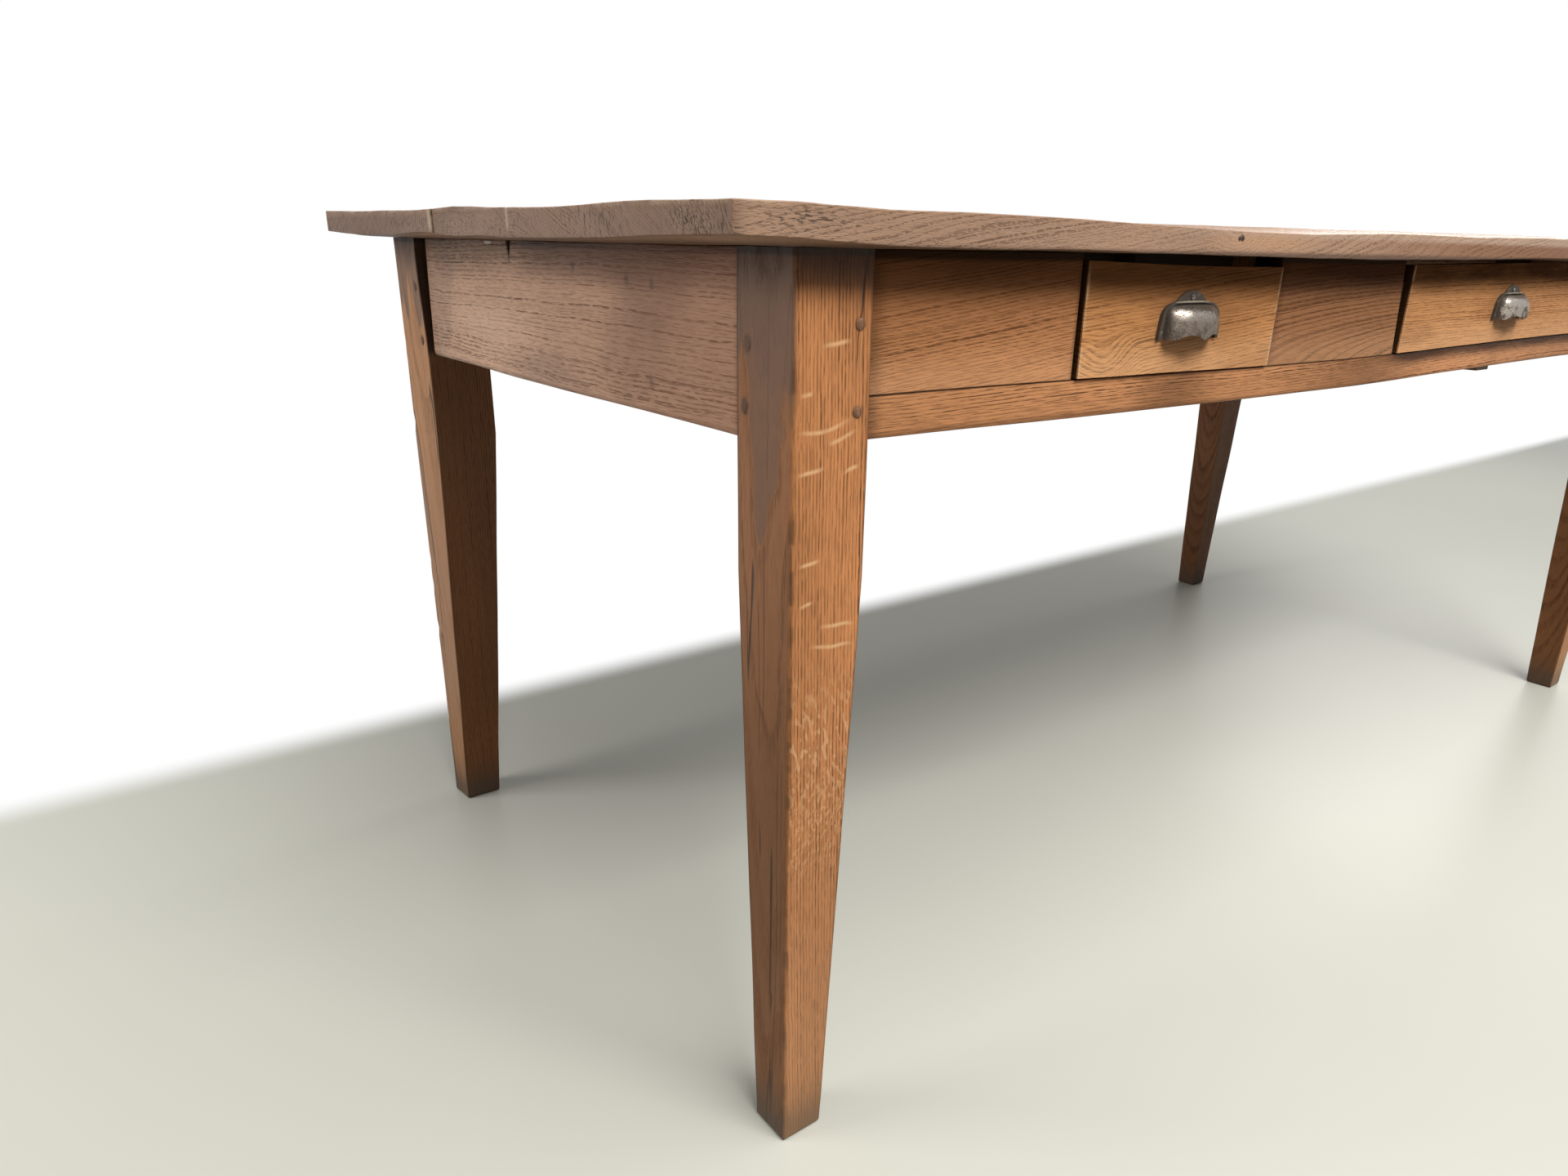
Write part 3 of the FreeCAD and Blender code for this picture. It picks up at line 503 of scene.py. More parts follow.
for corner, facts in legs.items():
    pegs = bmesh.new()
    way_x, way_y = facts["way"]
    face_x = facts["peg_x"]
    end_x, face_y = outer_corner(corner)
    low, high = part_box("leg_" + corner)
    for height in face_peg_heights:
        whittle(pegs, (face_x, face_y, height), (0, way_y, 0), face_peg_proud, face_peg_dome)
    for place_y, height in facts["end_pegs"]:
        inward = abs(face_y - place_y) / (high.y - low.y)
        place = (end_x + turned_by(facts, inward, height), place_y, height)
        whittle(pegs, place, (way_x, 0, 0), end_peg_proud, end_peg_dome, end_peg_height_share)
    roughen(pegs, 190.0, 0.0005)
    wood = Oak("oak_pegs_" + corner, "z", (face_x + 0.03, face_y), peg_late, peg_early, ring=0.0013,
               wander=0.002, seed=len(corner) * 1.0)
    wood.soil_and_shade(wood.axes[2].near(0.65, 0.2), polish_and_shade_dark, 0.35)
    wood.stain(polish_and_shade_dark, wood.axes[0].near(end_x, 0.004) * 0.82)
    put_in_place("pegs_" + corner + "_oak", pegs, "table_frame", ["pegs_" + corner], wood.done())


# End aprons and rear apron
# Wide oak boards tenoned into the legs and pegged. The rear shoulder of each end apron has shrunk away
# from its leg, and the left one is split at its top edge.
apron_late = (0.64, 0.390, 0.258, 1)
apron_early = (0.37, 0.205, 0.125, 1)
apron_pore = (0.060, 0.026, 0.011, 1)
smudge_brown = (0.16, 0.095, 0.065, 1)
upper_brown = (0.12, 0.056, 0.034, 1)
lower_brown = (0.17, 0.105, 0.074, 1)
apron_rear_pale = (0.72, 0.48, 0.34, 1)
apron_red = (0.29, 0.115, 0.055, 1)
torn_pale = (0.78, 0.72, 0.64, 1)
inner_face_shade_black = (0.010, 0.005, 0.003, 1)
shoulder_y = 0.325
apron_edge = 0.0014
rear_corner_round = 0.006
shrink_top = 0.013
shrink_bottom = 0.006
rear_end_set_back = 0.005
set_back_from_y = 0.05
set_back_over = 0.26
split_y = 0.0652
split_half_width = 0.0056
split_depth = 0.013
split_line = 0.0015
split_mouth = 0.005
neck_half_thickness = 0.005
neck_start = (0.295, 0.610)
neck_end = (0.326, 0.723)
rear_apron_span = (-0.824, 0.823)
apron_marks = ((-0.205, 0.701), (-0.165, 0.703), (-0.070, 0.710), (-0.200, 0.628))


def sharp_edges(shape, angle):
    """The edges where two faces meet at more than an angle."""
    return [edge for edge in shape.edges if edge.calc_face_angle(0.0) > angle]


for side, way in (("left", -1), ("right", 1)):
    low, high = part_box("end_apron_" + side)
    low.y = -shoulder_y
    high.y = shoulder_y
    apron = sawn(low, high)
    for vertex in apron.verts:
        if vertex.co.y > 0:
            up_share = (vertex.co.z - low.z) / (high.z - low.z)
            vertex.co.y -= shrink_bottom + (shrink_top - shrink_bottom) * up_share
    corner_edge = [edge for edge in apron.edges
                   if all(vertex.co.y > 0 and vertex.co.z < low.z + touch for vertex in edge.verts)]
    take_off(apron, corner_edge, rear_corner_round, 4)
    take_off(apron, sharp_edges(apron, 0.6), apron_edge, 2)
    cuts = between(low.y, high.y, 26)
    if side == "left":
        cuts += [split_y - split_half_width, split_y, split_y + split_half_width]
    cut_across(apron, 1, cuts)
    cut_across(apron, 2, between(low.z, high.z, 7) + [high.z - split_depth])
    outer_x = low.x if way < 0 else high.x
    for vertex in apron.verts:
        if abs(vertex.co.x - outer_x) < face_reach:
            rearward = smooth_step((vertex.co.y - set_back_from_y) / set_back_over)
            vertex.co.x -= way * rear_end_set_back * rearward
        vertex.co += unevenness(vertex.co, 7.0, 0.0006)
        in_split = abs(vertex.co.y - split_y) < split_line and vertex.co.z > high.z - split_mouth
        if side == "left" and in_split:
            vertex.co.z -= split_depth
    middle_x = (low.x + high.x) / 2
    neck_low = Vector((middle_x - neck_half_thickness, *neck_start))
    neck_high = Vector((middle_x + neck_half_thickness, *neck_end))
    bmesh.ops.create_cube(apron, size=1.0, matrix=Matrix.Translation((neck_low + neck_high) / 2)
                          @ Matrix.Diagonal(neck_high - neck_low).to_4x4())
    wood = Oak("oak_end_apron_" + side, "y", (0.90, -way * 0.05 + middle_x), apron_late, apron_early,
               ring=0.0040, wander=0.016, curl=0.0024, pores=1.0, pore_length=0.012, contrast=0.3,
               pore=apron_pore, seed=5.0 + way)
    y, z = wood.axes[1:]
    # Painted shade of the overhanging top: the apron darkens towards its top.
    wood.soil_and_shade(z.rise(0.685, 0.735), polish_and_shade_dark, 0.58)
    # Painted shade: a near black strip along the top edge, in the gap under the top.
    wood.stain(marks_and_gap_shade_dark, z.rise(0.7225, 0.7265) * y.rise(0.10, 0.0) * 0.9)
    wood.soil_and_shade(y.near(0.33, 0.05) * z.near(0.68, 0.09), polish_and_shade_dark, 0.4)
    wood.soil_and_shade(y.near(-shoulder_y, 0.010), polish_and_shade_dark, 0.5)
    wood.soil_and_shade(z.rise(0.609, 0.603), polish_and_shade_dark, 0.6)
    smudge = wood.speckle(7.0, 6.0, 3.0, 0.3).rise(0.46, 0.70)
    wood.stain(smudge_brown, smudge * 0.55)
    wood.soil_and_shade(wood.round_spot((outer_x, -0.12, 0.716), (0.05, 0.24, 0.030)), upper_brown, 0.6)
    wood.soil_and_shade(wood.round_spot((outer_x, 0.0, 0.618), (0.05, 0.14, 0.028)), lower_brown, 0.5)
    # A paler patch towards the rear end of the apron.
    wood.stain(apron_rear_pale, wood.round_spot((outer_x, 0.14, 0.655), (0.05, 0.15, 0.045)) * 0.35)
    wood.stain(apron_red, y.rise(0.10, -0.33) * 0.46)
    shrink_slope = (shrink_top - shrink_bottom) / (high.z - low.z)
    past_shoulder = y - (shoulder_y - shrink_bottom) + (z - low.z) * shrink_slope
    # Painted shade: the end face past the shoulder is near black, in the shrinkage gap.
    wood.stain(marks_and_gap_shade_dark, past_shoulder.rise(0.0005, 0.0017))
    wood.soil_and_shade(wood.round_spot((outer_x, split_y, 0.724), (0.02, 0.007, 0.022)), marks_and_gap_shade_dark, 1.0)
    torn = wood.round_spot((outer_x, 0.118, 0.7275), (0.02, 0.016, 0.0022))
    wood.stain(torn_pale, torn.rise(0.1, 0.5))
    for place_y, height in apron_marks:
        wood.soil_and_shade(wood.round_spot((outer_x, place_y, height), (0.02, 0.006, 0.008)), marks_and_gap_shade_dark, 0.45)
    put_in_place("end_apron_" + side + "_oak", apron, "table_frame", ["end_apron_" + side],
                 wood.done())

low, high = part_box("rear_apron")
low.x, high.x = rear_apron_span
apron = sawn(low, high)
take_off(apron, apron.edges[:], apron_edge, 2)
cut_across(apron, 0, between(low.x, high.x, 40))
cut_across(apron, 2, between(low.z, high.z, 5))
roughen(apron, 6.0, 0.0007)
wood = Oak("oak_rear_apron", "x", (0.42, 0.60), apron_late, apron_early, ring=0.0042, wander=0.025, seed=9.0)
# Painted shade of the overhanging top: the rear apron darkens towards its top.
wood.soil_and_shade(wood.axes[2].rise(0.69, 0.735), polish_and_shade_dark, 0.55)
# Painted shade: the inner face is near black from halfway up, as it stands in shadow.
inner_face = wood.axes[1].rise(high.y - 0.008, high.y - 0.014)
wood.stain(inner_face_shade_black, inner_face * wood.axes[2].rise(0.63, 0.69) * 0.97)
put_in_place("rear_apron_oak", apron, "table_frame", ["rear_apron"],
             wood.done(shine=0.12))


# Front rail
# One long oak rail under the drawers, tenoned into both front legs. It has sagged with age.
front_late = (0.58, 0.265, 0.115, 1)
front_early = (0.38, 0.158, 0.060, 1)
handled_brown = (0.13, 0.054, 0.020, 1)
half_span = 0.823
rail_edge = 0.0013
rail_low_band = 0.005
rail_wear = 0.0010
left_wear = 0.0014
left_wear_x = -0.60
left_wear_spread = 0.20
sag_at_legs = 0.0035
sag_depth = 0.0065
sag_lowest_x = -0.19
sag_spread = 0.40


def hump(place, middle, spread):
    """1 at the middle of a soft hump, fading to 0 on both sides."""
    return math.exp(-((place - middle) / spread) ** 2)


def sag(x):
    """How far the front has risen or dropped at a place along the rail."""
    return sag_at_legs - sag_depth * hump(x, sag_lowest_x, sag_spread)


def follow_rail(shape, low_z, high_z):
    """Let the lower edge of a front board follow the rail, and leave its upper edge level."""
    for vertex in shape.verts:
        share = min(1.0, max(0.0, (high_z - vertex.co.z) / (high_z - low_z)))
        vertex.co.z += sag(vertex.co.x) * share


def unsagged(wood):
    """Height on a front board with the rail's sag taken out."""
    x, z = wood.axes[::2]
    apart = (x - sag_lowest_x) / sag_spread
    return z - sag_at_legs + apart.math("EXPONENT", apart * apart * -1.0) * sag_depth


low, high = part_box("front_rail")
low.x = -half_span
high.x = half_span
rail = sawn(low, high)
take_off(rail, rail.edges[:], rail_edge, 2)
cut_across(rail, 0, between(low.x, high.x, 56))
for vertex in rail.verts:
    if vertex.co.z < low.z + rail_low_band:
        vertex.co.z -= rail_wear + left_wear * hump(vertex.co.x, left_wear_x, left_wear_spread)
    vertex.co.z += sag(vertex.co.x)
    vertex.co += unevenness(vertex.co, 8.0, 0.0005)
wood = Oak("oak_front_rail", "x", (-0.36, 0.46), front_late, front_early, ring=0.0028, wander=0.010,
           pores=1.0, pore_length=0.014, contrast=0.85, tilt=(0.0, 0.015), seed=13.0)
x = wood.axes[0]
level = unsagged(wood)
wood.stain(polish_and_shade_dark, x.near(-half_span, 0.018).most(x.near(half_span, 0.018)) * 0.6)
# Painted shade: a dark line along the top edge, under the panels and drawers.
wood.stain(marks_and_gap_shade_dark, level.rise(0.6303, 0.6312) * 0.85)
wood.soil_and_shade(level.rise(0.607, 0.603), polish_and_shade_dark, 0.5)
wood.soil_and_shade(x.near(-0.12, 0.22), handled_brown, 0.65)
wood.soil_and_shade(x.near(-0.46, 0.09), handled_brown, 0.55)
wood.soil_and_shade(level.rise(0.614, 0.628) * x.rise(-0.10, 0.0), shadow_brown, 1.0)
put_in_place("front_rail_oak", rail, "table_frame", ["front_rail"], wood.done(shine=0.12))


# Front panels
# Three short oak boards doweled on the rail, beside and between the drawers; the outer two are tenoned
# into the legs. The right end of the middle one was sawn out of square.
panel_edge = 0.0012
panel_shade = (0.20, 0.066, 0.018, 1)
panel_lit_pale = (0.66, 0.370, 0.205, 1)
panel_facts = {
    "left": {"span": (-half_span, -0.606), "heart": (-0.33, 0.586), "tilt": (0.0, 0.12), "ring": 0.0026,
             "slope": 0.0, "wander": 0.010, "seed": 2.2, "paint": (1.0, 1.0), "top_shadow_share": 0.66},
    "middle": {"span": (-0.315, -0.053), "heart": (-0.375, 0.622), "tilt": (-0.1145, 0.0), "ring": 0.0036,
               "slope": 0.012, "wander": 0.004, "seed": 7.4, "paint": (0.64, 0.29), "top_shadow_share": 1.0},
    "right": {"span": (0.504, half_span), "heart": (-0.33, 0.50), "tilt": (0.0, -0.05), "ring": 0.0028,
              "slope": 0.0, "wander": 0.014, "seed": 11.6, "paint": (0.95, 0.9), "top_shadow_share": 0.85},
}


def close_to_ends(x, low, high, reach, full):
    """1 close to the two ends of a board, 0 further in than a reach."""
    return x.rise(low.x + reach, low.x + full).most(x.rise(high.x - reach, high.x - full))


for side, facts in panel_facts.items():
    low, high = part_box("front_panel_" + side)
    low.x, high.x = facts["span"]
    panel = sawn(low, high)
    for vertex in panel.verts:
        if vertex.co.x > high.x - touch and vertex.co.z > high.z - touch:
            vertex.co.x -= facts["slope"]
    take_off(panel, panel.edges[:], panel_edge, 2)
    cut_across(panel, 0, between(low.x, high.x, 12))
    cut_across(panel, 2, between(low.z, high.z, 5))
    follow_rail(panel, low.z, high.z)
    roughen(panel, 8.0, 0.0005)
    late = tuple(part * facts["paint"][0] for part in front_late[:3]) + (1,)
    early = tuple(part * facts["paint"][1] for part in front_early[:3]) + (1,)
    wood = Oak("oak_front_panel_" + side, "x", facts["heart"], late, early, ring=facts["ring"],
               wander=facts["wander"], curl=0.0010, contrast=0.95, pore_length=0.012, tilt=facts["tilt"],
               seed=facts["seed"])
    x, y, z = wood.axes
    dark_ends = x.near(low.x, 0.018).most(x.near(high.x, 0.006))
    wood.stain(polish_and_shade_dark, dark_ends * 0.6)
    # Painted shade and light: darker towards the top, under the overhang, and paler towards the bottom.
    wood.stain(panel_shade, z.rise(0.640, 0.712) * 0.42)
    wood.stain(panel_lit_pale, z.rise(0.668, 0.636) * 0.25)
    under_top = z.rise(0.688, 0.720)
    # Painted shadow of the overhanging top, its share given per panel.
    wood.soil_and_shade(under_top, shadow_brown, facts["top_shadow_share"])
    wood.roughness = wood.roughness + under_top * 0.4
    # Painted shade: a near black band at the top, in the gap under the top.
    wood.stain(marks_and_gap_shade_dark, z.rise(0.721, 0.7255) * 0.9)
    # Painted shade: a dark line along the bottom edge, where the panel meets the rail.
    wood.stain(marks_and_gap_shade_dark, unsagged(wood).rise(0.6328, 0.6318) * 0.85)
    # Painted shade on the ends, behind the face, in the gaps beside the drawers.
    ends = close_to_ends(x, low, high, 0.016, 0.012)
    wood.stain(marks_and_gap_shade_dark, ends * y.rise(low.y + 0.0012, low.y + 0.0024))
    put_in_place("front_panel_" + side + "_oak", panel, "table_frame", ["front_panel_" + side],
                 wood.done(shine=0.08))


# Dowels, runners, guides, stops and buttons
# Plain oak pieces inside the table: dowels under the front panels, runners stub-tenoned into
# the rail and the rear apron, guide strips nailed on them, stops behind the drawers and buttons for the top.
inner_late = (0.30, 0.178, 0.095, 1)
inner_early = (0.185, 0.100, 0.050, 1)
aged_late = (0.19, 0.105, 0.055, 1)
aged_early = (0.115, 0.06, 0.03, 1)
rubbed_track = (0.20, 0.12, 0.07, 1)


def dress(nodes, material):
    """Give CAD pieces that stay as they are a finish of their own."""
    for name in nodes:
        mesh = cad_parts[name].data
        mesh.materials.clear()
        mesh.materials.append(material)


runner_nodes = [drawer + "_" + kind + "_" + side for drawer in ("small_drawer", "wide_drawer")
                for kind in ("runner", "guide") for side in ("left", "right")]
runner_nodes.append("wide_drawer_runner_centre")
wood = Oak("oak_runners", "y", (0.45, -0.12), aged_late, aged_early, ring=0.004, wander=0.02, seed=19.0)
height = wood.axes[2]
wood.soil_and_shade(height.rise(0.626, 0.634) * height.rise(0.64, 0.633), rubbed_track, 0.5)
dress(runner_nodes, wood.done())
wood = Oak("oak_dowels", "z", (0.1, -0.3), inner_late, inner_early, ring=0.0016, wander=0.004, seed=23.0)
dress(["panel_dowels"], wood.done())
wood = Oak("oak_stops_and_buttons", "x", (0.2, 0.5), aged_late, aged_early, ring=0.003, wander=0.01,
           seed=31.0)
# Painted shade: near black towards the top, where these are seen through the gap above the drawers.
wood.soil_and_shade(wood.axes[2].rise(0.69, 0.715), marks_and_gap_shade_dark, 1.1)
dress(["small_drawer_stops", "wide_drawer_stops", "top_buttons"], wood.done(shine=0.06))


# Nails and button screws
# Cut nails in the guides and the drawer bottoms, and countersunk screws through the buttons.
# Plain steel gone dull and brown.
def dull_steel(name, bright, rust, dullness):
    """Old steel: grey metal, broken by brown rust and small pits."""
    material, surface, place = new_material(name)
    pits = place.cloud(900.0, 2.0)
    rusty = place.cloud(180.0, 4.0).rise(0.45, 0.68)
    place.plain(bright).tint(rust, rusty).shade(0.75 + 0.5 * pits).feed(surface, "Base Color")
    (dullness + rusty * 0.3).feed(surface, "Roughness")
    (0.95 - rusty * 0.75).feed(surface, "Metallic")
    (pits - rusty * 0.3).relief(0.0003, 0.5).feed(surface, "Normal")
    return material


nail_grey = (0.30, 0.29, 0.28, 1)
nail_rust = (0.10, 0.05, 0.028, 1)
fixing_steel = dull_steel("dull_steel_fixings", nail_grey, nail_rust, 0.42)
dress(["guide_nails", "top_button_screws", "small_drawer_bottom_nails", "wide_drawer_bottom_nails"],
      fixing_steel)


# Top
# Three thick oak planks, tongued and grooved, held down by the buttons. Use has rounded their edges,
# cupped them a little and greyed them; the corners at the joints are chipped.
top_late = (0.46, 0.290, 0.195, 1)
top_early = (0.26, 0.150, 0.095, 1)
end_grain_brown = (0.148, 0.088, 0.062, 1)
left_front_brown = (0.17, 0.092, 0.056, 1)
right_front_brown = (0.177, 0.055, 0.009, 1)
front_pale = (0.66, 0.37, 0.19, 1)
check_dark = (0.050, 0.028, 0.017, 1)
ring_brown = (0.19, 0.100, 0.055, 1)
spill_brown = (0.20, 0.110, 0.064, 1)
chip_pale = (0.58, 0.43, 0.31, 1)
lower_edge_shade_brown = (0.085, 0.045, 0.026, 1)
underside_shade_dark = (0.014, 0.007, 0.004, 1)
rolled_wear_and_highlight_pale = (0.55, 0.39, 0.29, 1)
top_worn_pale = (0.55, 0.39, 0.27, 1)
top_low_z = 0.730
top_high_z = 0.755
top_front_y = -0.421
top_rear_y = 0.421
joint_ys = (-0.103, 0.072)
plank_corner = 0.0020
plank_rim = 0.0055
plank_seam = 0.0012
end_cut_step = 0.012
knot_x = -0.443
end_waves_above = ((0.44, 0.12, 0.0022), (0.10, 0.06, -0.0008), (0.02, 0.06, 0.0018), (-0.17, 0.07, -0.0012),
                   (-0.30, 0.08, 0.0010), (-0.42, 0.05, 0.0002))
end_waves_below = ((0.46, 0.10, 0.0040), (0.105, 0.06, 0.0036), (-0.04, 0.03, 0.0016), (-0.42, 0.16, 0.0042))
front_waves_above = ((-0.83, 0.08, -0.0018), (-0.60, 0.16, -0.0030), (0.20, 0.30, 0.0040),
                     (0.75, 0.2, -0.001))
front_waves_below = ((-0.97, 0.12, 0.0060), (-0.66, 0.08, 0.0012), (-0.20, 0.20, -0.0022),
                     (0.24, 0.14, 0.0022))
front_wear = ((-0.36, 0.17, 0.0058), (0.02, 0.22, 0.0048), (0.45, 0.28, 0.0040))
front_wear_reach = 0.026
end_waves_reach = 0.28
front_waves_reach = 0.16
end_lift_reach = 0.032
front_lift_reach = 0.018
end_lift_below = 0.0020
plank_facts = {
    "front": {"span": (top_front_y, joint_ys[0]), "rim_cuts": [-0.412, -0.402, -0.393],
              "end": (-0.0005, 0.0), "heart": (-0.02, 0.45), "tilt": (0.0, 0.16), "lean": 0.40, "seed": 4.1,
              "tone": (0.36, 0.215, 0.135, 1)},
    "middle": {"span": joint_ys, "rim_cuts": [],
               "end": (0.0016, -0.001), "heart": (0.02, 0.60), "tilt": (0.0, 0.03), "lean": 1.6, "seed": 8.3,
               "tone": (0.20, 0.112, 0.062, 1)},
    "rear": {"span": (joint_ys[1], top_rear_y), "rim_cuts": [],
             "end": (0.0, 0.0015), "heart": (0.10, 0.56), "tilt": (0.02, 0.06), "lean": -0.5, "seed": 12.9,
             "tone": (0.46, 0.285, 0.175, 1)},
}


def waves(place, bumps):
    """Sum of soft rises and dips along an edge."""
    return sum(height * hump(place, middle, spread) for middle, spread, height in bumps)


def on_seam(edge):
    """Whether an edge lies at a joint between two planks."""
    return all(min(abs(vertex.co.y - seam_y) for seam_y in joint_ys) < touch for vertex in edge.verts)


for side, facts in plank_facts.items():
    low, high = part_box("top_plank_" + side)
    low.y, high.y = facts["span"]
    low.z, high.z = top_low_z, top_high_z
    low.x += facts["end"][0]
    high.x += facts["end"][1]
    plank = sawn(low, high)
    take_off(plank, upright_edges(plank, 0.02), plank_corner, 2)
    rims = [edge for edge in sharp_edges(plank, 1.0) if not on_seam(edge)]
    take_off(plank, rims, plank_rim, 5)
    seams = [edge for edge in sharp_edges(plank, 1.0) if edge.calc_length() > 1.0]
    take_off(plank, seams, plank_seam, 2)
    end_cuts = [low.x + step * end_cut_step for step in range(1, 6)]
    cut_across(plank, 0, between(low.x, high.x, 80) + end_cuts)
    cut_across(plank, 1, between(low.y, high.y, 10) + facts["rim_cuts"])
    for vertex in plank.verts:
        point = vertex.co
        above = (point.z - top_low_z) / (top_high_z - top_low_z)
        lift_above = waves(point.y, end_waves_above) * hump(point.x, low.x, end_waves_reach)
        lift_above += waves(point.x, front_waves_above) * hump(point.y, top_front_y, front_waves_reach)
        lift_above -= waves(point.x, front_wear) * hump(point.y, top_front_y, front_wear_reach)
        end_lift = end_lift_below + waves(point.y, end_waves_below)
        end_lift *= hump(point.x, low.x, end_lift_reach)
        front_lift = waves(point.x, front_waves_below) * hump(point.y, top_front_y, front_lift_reach)
        lift_below = max(end_lift, front_lift) if front_lift > 0 else end_lift + front_lift
        point.z += lift_above * above + lift_below * (1 - above)
        point += unevenness(point, 11.0, 0.0007)
        point += unevenness(point, 45.0, 0.00035)
    wood = Oak("oak_top_" + side, "x", facts["heart"], top_late, top_early, ring=0.0026, wander=0.010,
               waves=3.5, curl=0.0012, pores=0.65, pore_length=0.004, contrast=0.25, tilt=facts["tilt"],
               knots=(((knot_x, top_front_y, 0.7425), (0.05, 0.05, 0.03), 0.010),), seed=facts["seed"])
    x, y, z = wood.axes
    end_face = x.near(low.x, 0.012).most(x.near(high.x, 0.012))
    wood.stain(end_grain_brown, end_face * (0.5 + 0.25 * y.rise(-0.05, 0.20)))
    left_front = x.rise(0.0, -0.50) * y.near(top_front_y, 0.04)
    wood.stain(left_front_brown, left_front * 0.28)
    right_front = x.rise(-0.42, 0.10) * y.near(top_front_y, 0.03) * z.rise(0.7495, 0.7440)
    wood.stain(right_front_brown, right_front * 0.72)
    pale_patch = wood.round_spot((-0.40, top_front_y, 0.741), (0.13, 0.04, 0.013))
    wood.stain(front_pale, pale_patch * 0.4)
    lean = facts["lean"]
    slant = x.add("ShaderNodeCombineXYZ", {}, {0: (y - z * lean) * 480.0, 1: (z + y * lean) * 110.0})
    checked = 0.30 + 0.70 * wood.speckle(1.0, 14.0, 1.0).rise(0.35, 0.6)
    crack = slant.cloud(1.0, 2.0).rise(0.52, 0.64) * end_face * checked
    wood.stain(check_dark, crack * 0.72)
    wood.height = wood.height - crack * 1.2
    upper_face = z.rise(0.7480, 0.7525)
    wood.stain(facts["tone"], upper_face * 0.3)
    wood.stain(ring_brown, wood.early * upper_face * 0.55)
    stained = wood.speckle(3.2, 8.0, 4.0).rise(0.47, 0.66)
    wood.stain(spill_brown, stained * upper_face * 0.4)
    wood.splits(upper_face, 26.0, 0.50, 0.008)
    for seam_y in joint_ys:
        chip = (y - seam_y - 0.0035).near(0.0, 0.0075) * x.near(low.x, 0.008) * z.rise(0.733, 0.742)
        wood.stain(chip_pale, chip * 0.8)
        wood.soil_and_shade(y.near(seam_y, 0.0016), polish_and_shade_dark, 0.5)
        wood.soil_and_shade(y.near(seam_y, 0.0026) * upper_face, marks_and_gap_shade_dark, 0.9)
    torn = wood.speckle(150.0, 560.0, 3.0).rise(0.52, 0.62)
    ragged = wood.round_spot((-0.905, top_front_y, 0.746), (0.065, 0.03, 0.013)) * torn
    wood.stain(marks_and_gap_shade_dark, ragged * 0.75)
    wood.height = wood.height - ragged * 1.6
    rotten = wood.round_spot((-0.955, -0.375, 0.744), (0.03, 0.042, 0.016)) * torn
    wood.stain(marks_and_gap_shade_dark, rotten * 0.8)
    knot = wood.round_spot((knot_x, top_front_y, 0.7435), (0.010, 0.02, 0.0060))
    wood.stain(marks_and_gap_shade_dark, (knot * wood.speckle(200.0, 300.0, 2.0)).rise(0.20, 0.36))
    # Painted shade: the lower edges of the planks darken towards the underside.
    wood.stain(lower_edge_shade_brown, z.rise(0.7345, 0.7305) * 0.8)
    # Painted shade: the underside inside the rim is near black, as it stands in shadow.
    below = z.rise(0.7325, 0.7312) * y.near(0.0, 0.40).rise(0.0, 0.05) * x.near(0.0, 0.89).rise(0.0, 0.03)
    wood.stain(underside_shade_dark, below * 0.93)
    # Rubbed paler wood, and a painted highlight, along the rounded upper front edge on the right.
    rolled_wear_and_highlight = y.rise(-0.385, -0.416) * x.rise(-0.60, -0.42) * z.rise(0.7425, 0.7475)
    wood.stain(rolled_wear_and_highlight_pale, rolled_wear_and_highlight * 0.35)
    wood.roughness = wood.roughness - rolled_wear_and_highlight * 0.12
    worn = z.near(0.7545, 0.003) * y.near(top_front_y, 0.012).most(end_face)
    wood.wear(worn, top_worn_pale, 0.5)
    put_in_place("top_plank_" + side + "_oak", plank, "table_frame", ["top_plank_" + side],
                 wood.done(0.0009, 0.5))


# Drawer fronts
# Oak boards with half-blind dovetail sockets for the sides, each a little ahead of the rail.
# Handled and rubbed, they are the palest wood on the table.
drawer_late = (0.70, 0.334, 0.130, 1)
drawer_early = (0.42, 0.185, 0.070, 1)
drawer_shade = (0.22, 0.078, 0.022, 1)
drawer_lit_pale = (0.80, 0.460, 0.245, 1)
drawer_stain = (0.24, 0.098, 0.034, 1)
hand_brown = (0.16, 0.085, 0.045, 1)
drawer_rubbed = (0.74, 0.50, 0.30, 1)
drawer_edge = 0.0015
lift_from = 0.6
drawer_facts = {
    "small_drawer": {"heart": (-0.36, 0.50), "tilt": (0.0, 0.10), "wander": 0.010, "ring": 0.0031,
                     "knots": (((-0.568, -0.392, 0.640), (0.055, 0.05, 0.036), 0.017),),
                     "top": (0.0042, 0.0), "upper_shade_share": 0.55, "top_shadow_share": 0.66, "seed": 6.7},
    "wide_drawer": {"heart": (-0.34, 0.45), "tilt": (0.0, 0.01), "wander": 0.012, "ring": 0.0028,
                    "knots": (), "top": (0.0025, 0.0075), "upper_shade_share": 0.25, "top_shadow_share": 0.88, "seed": 15.5},
}
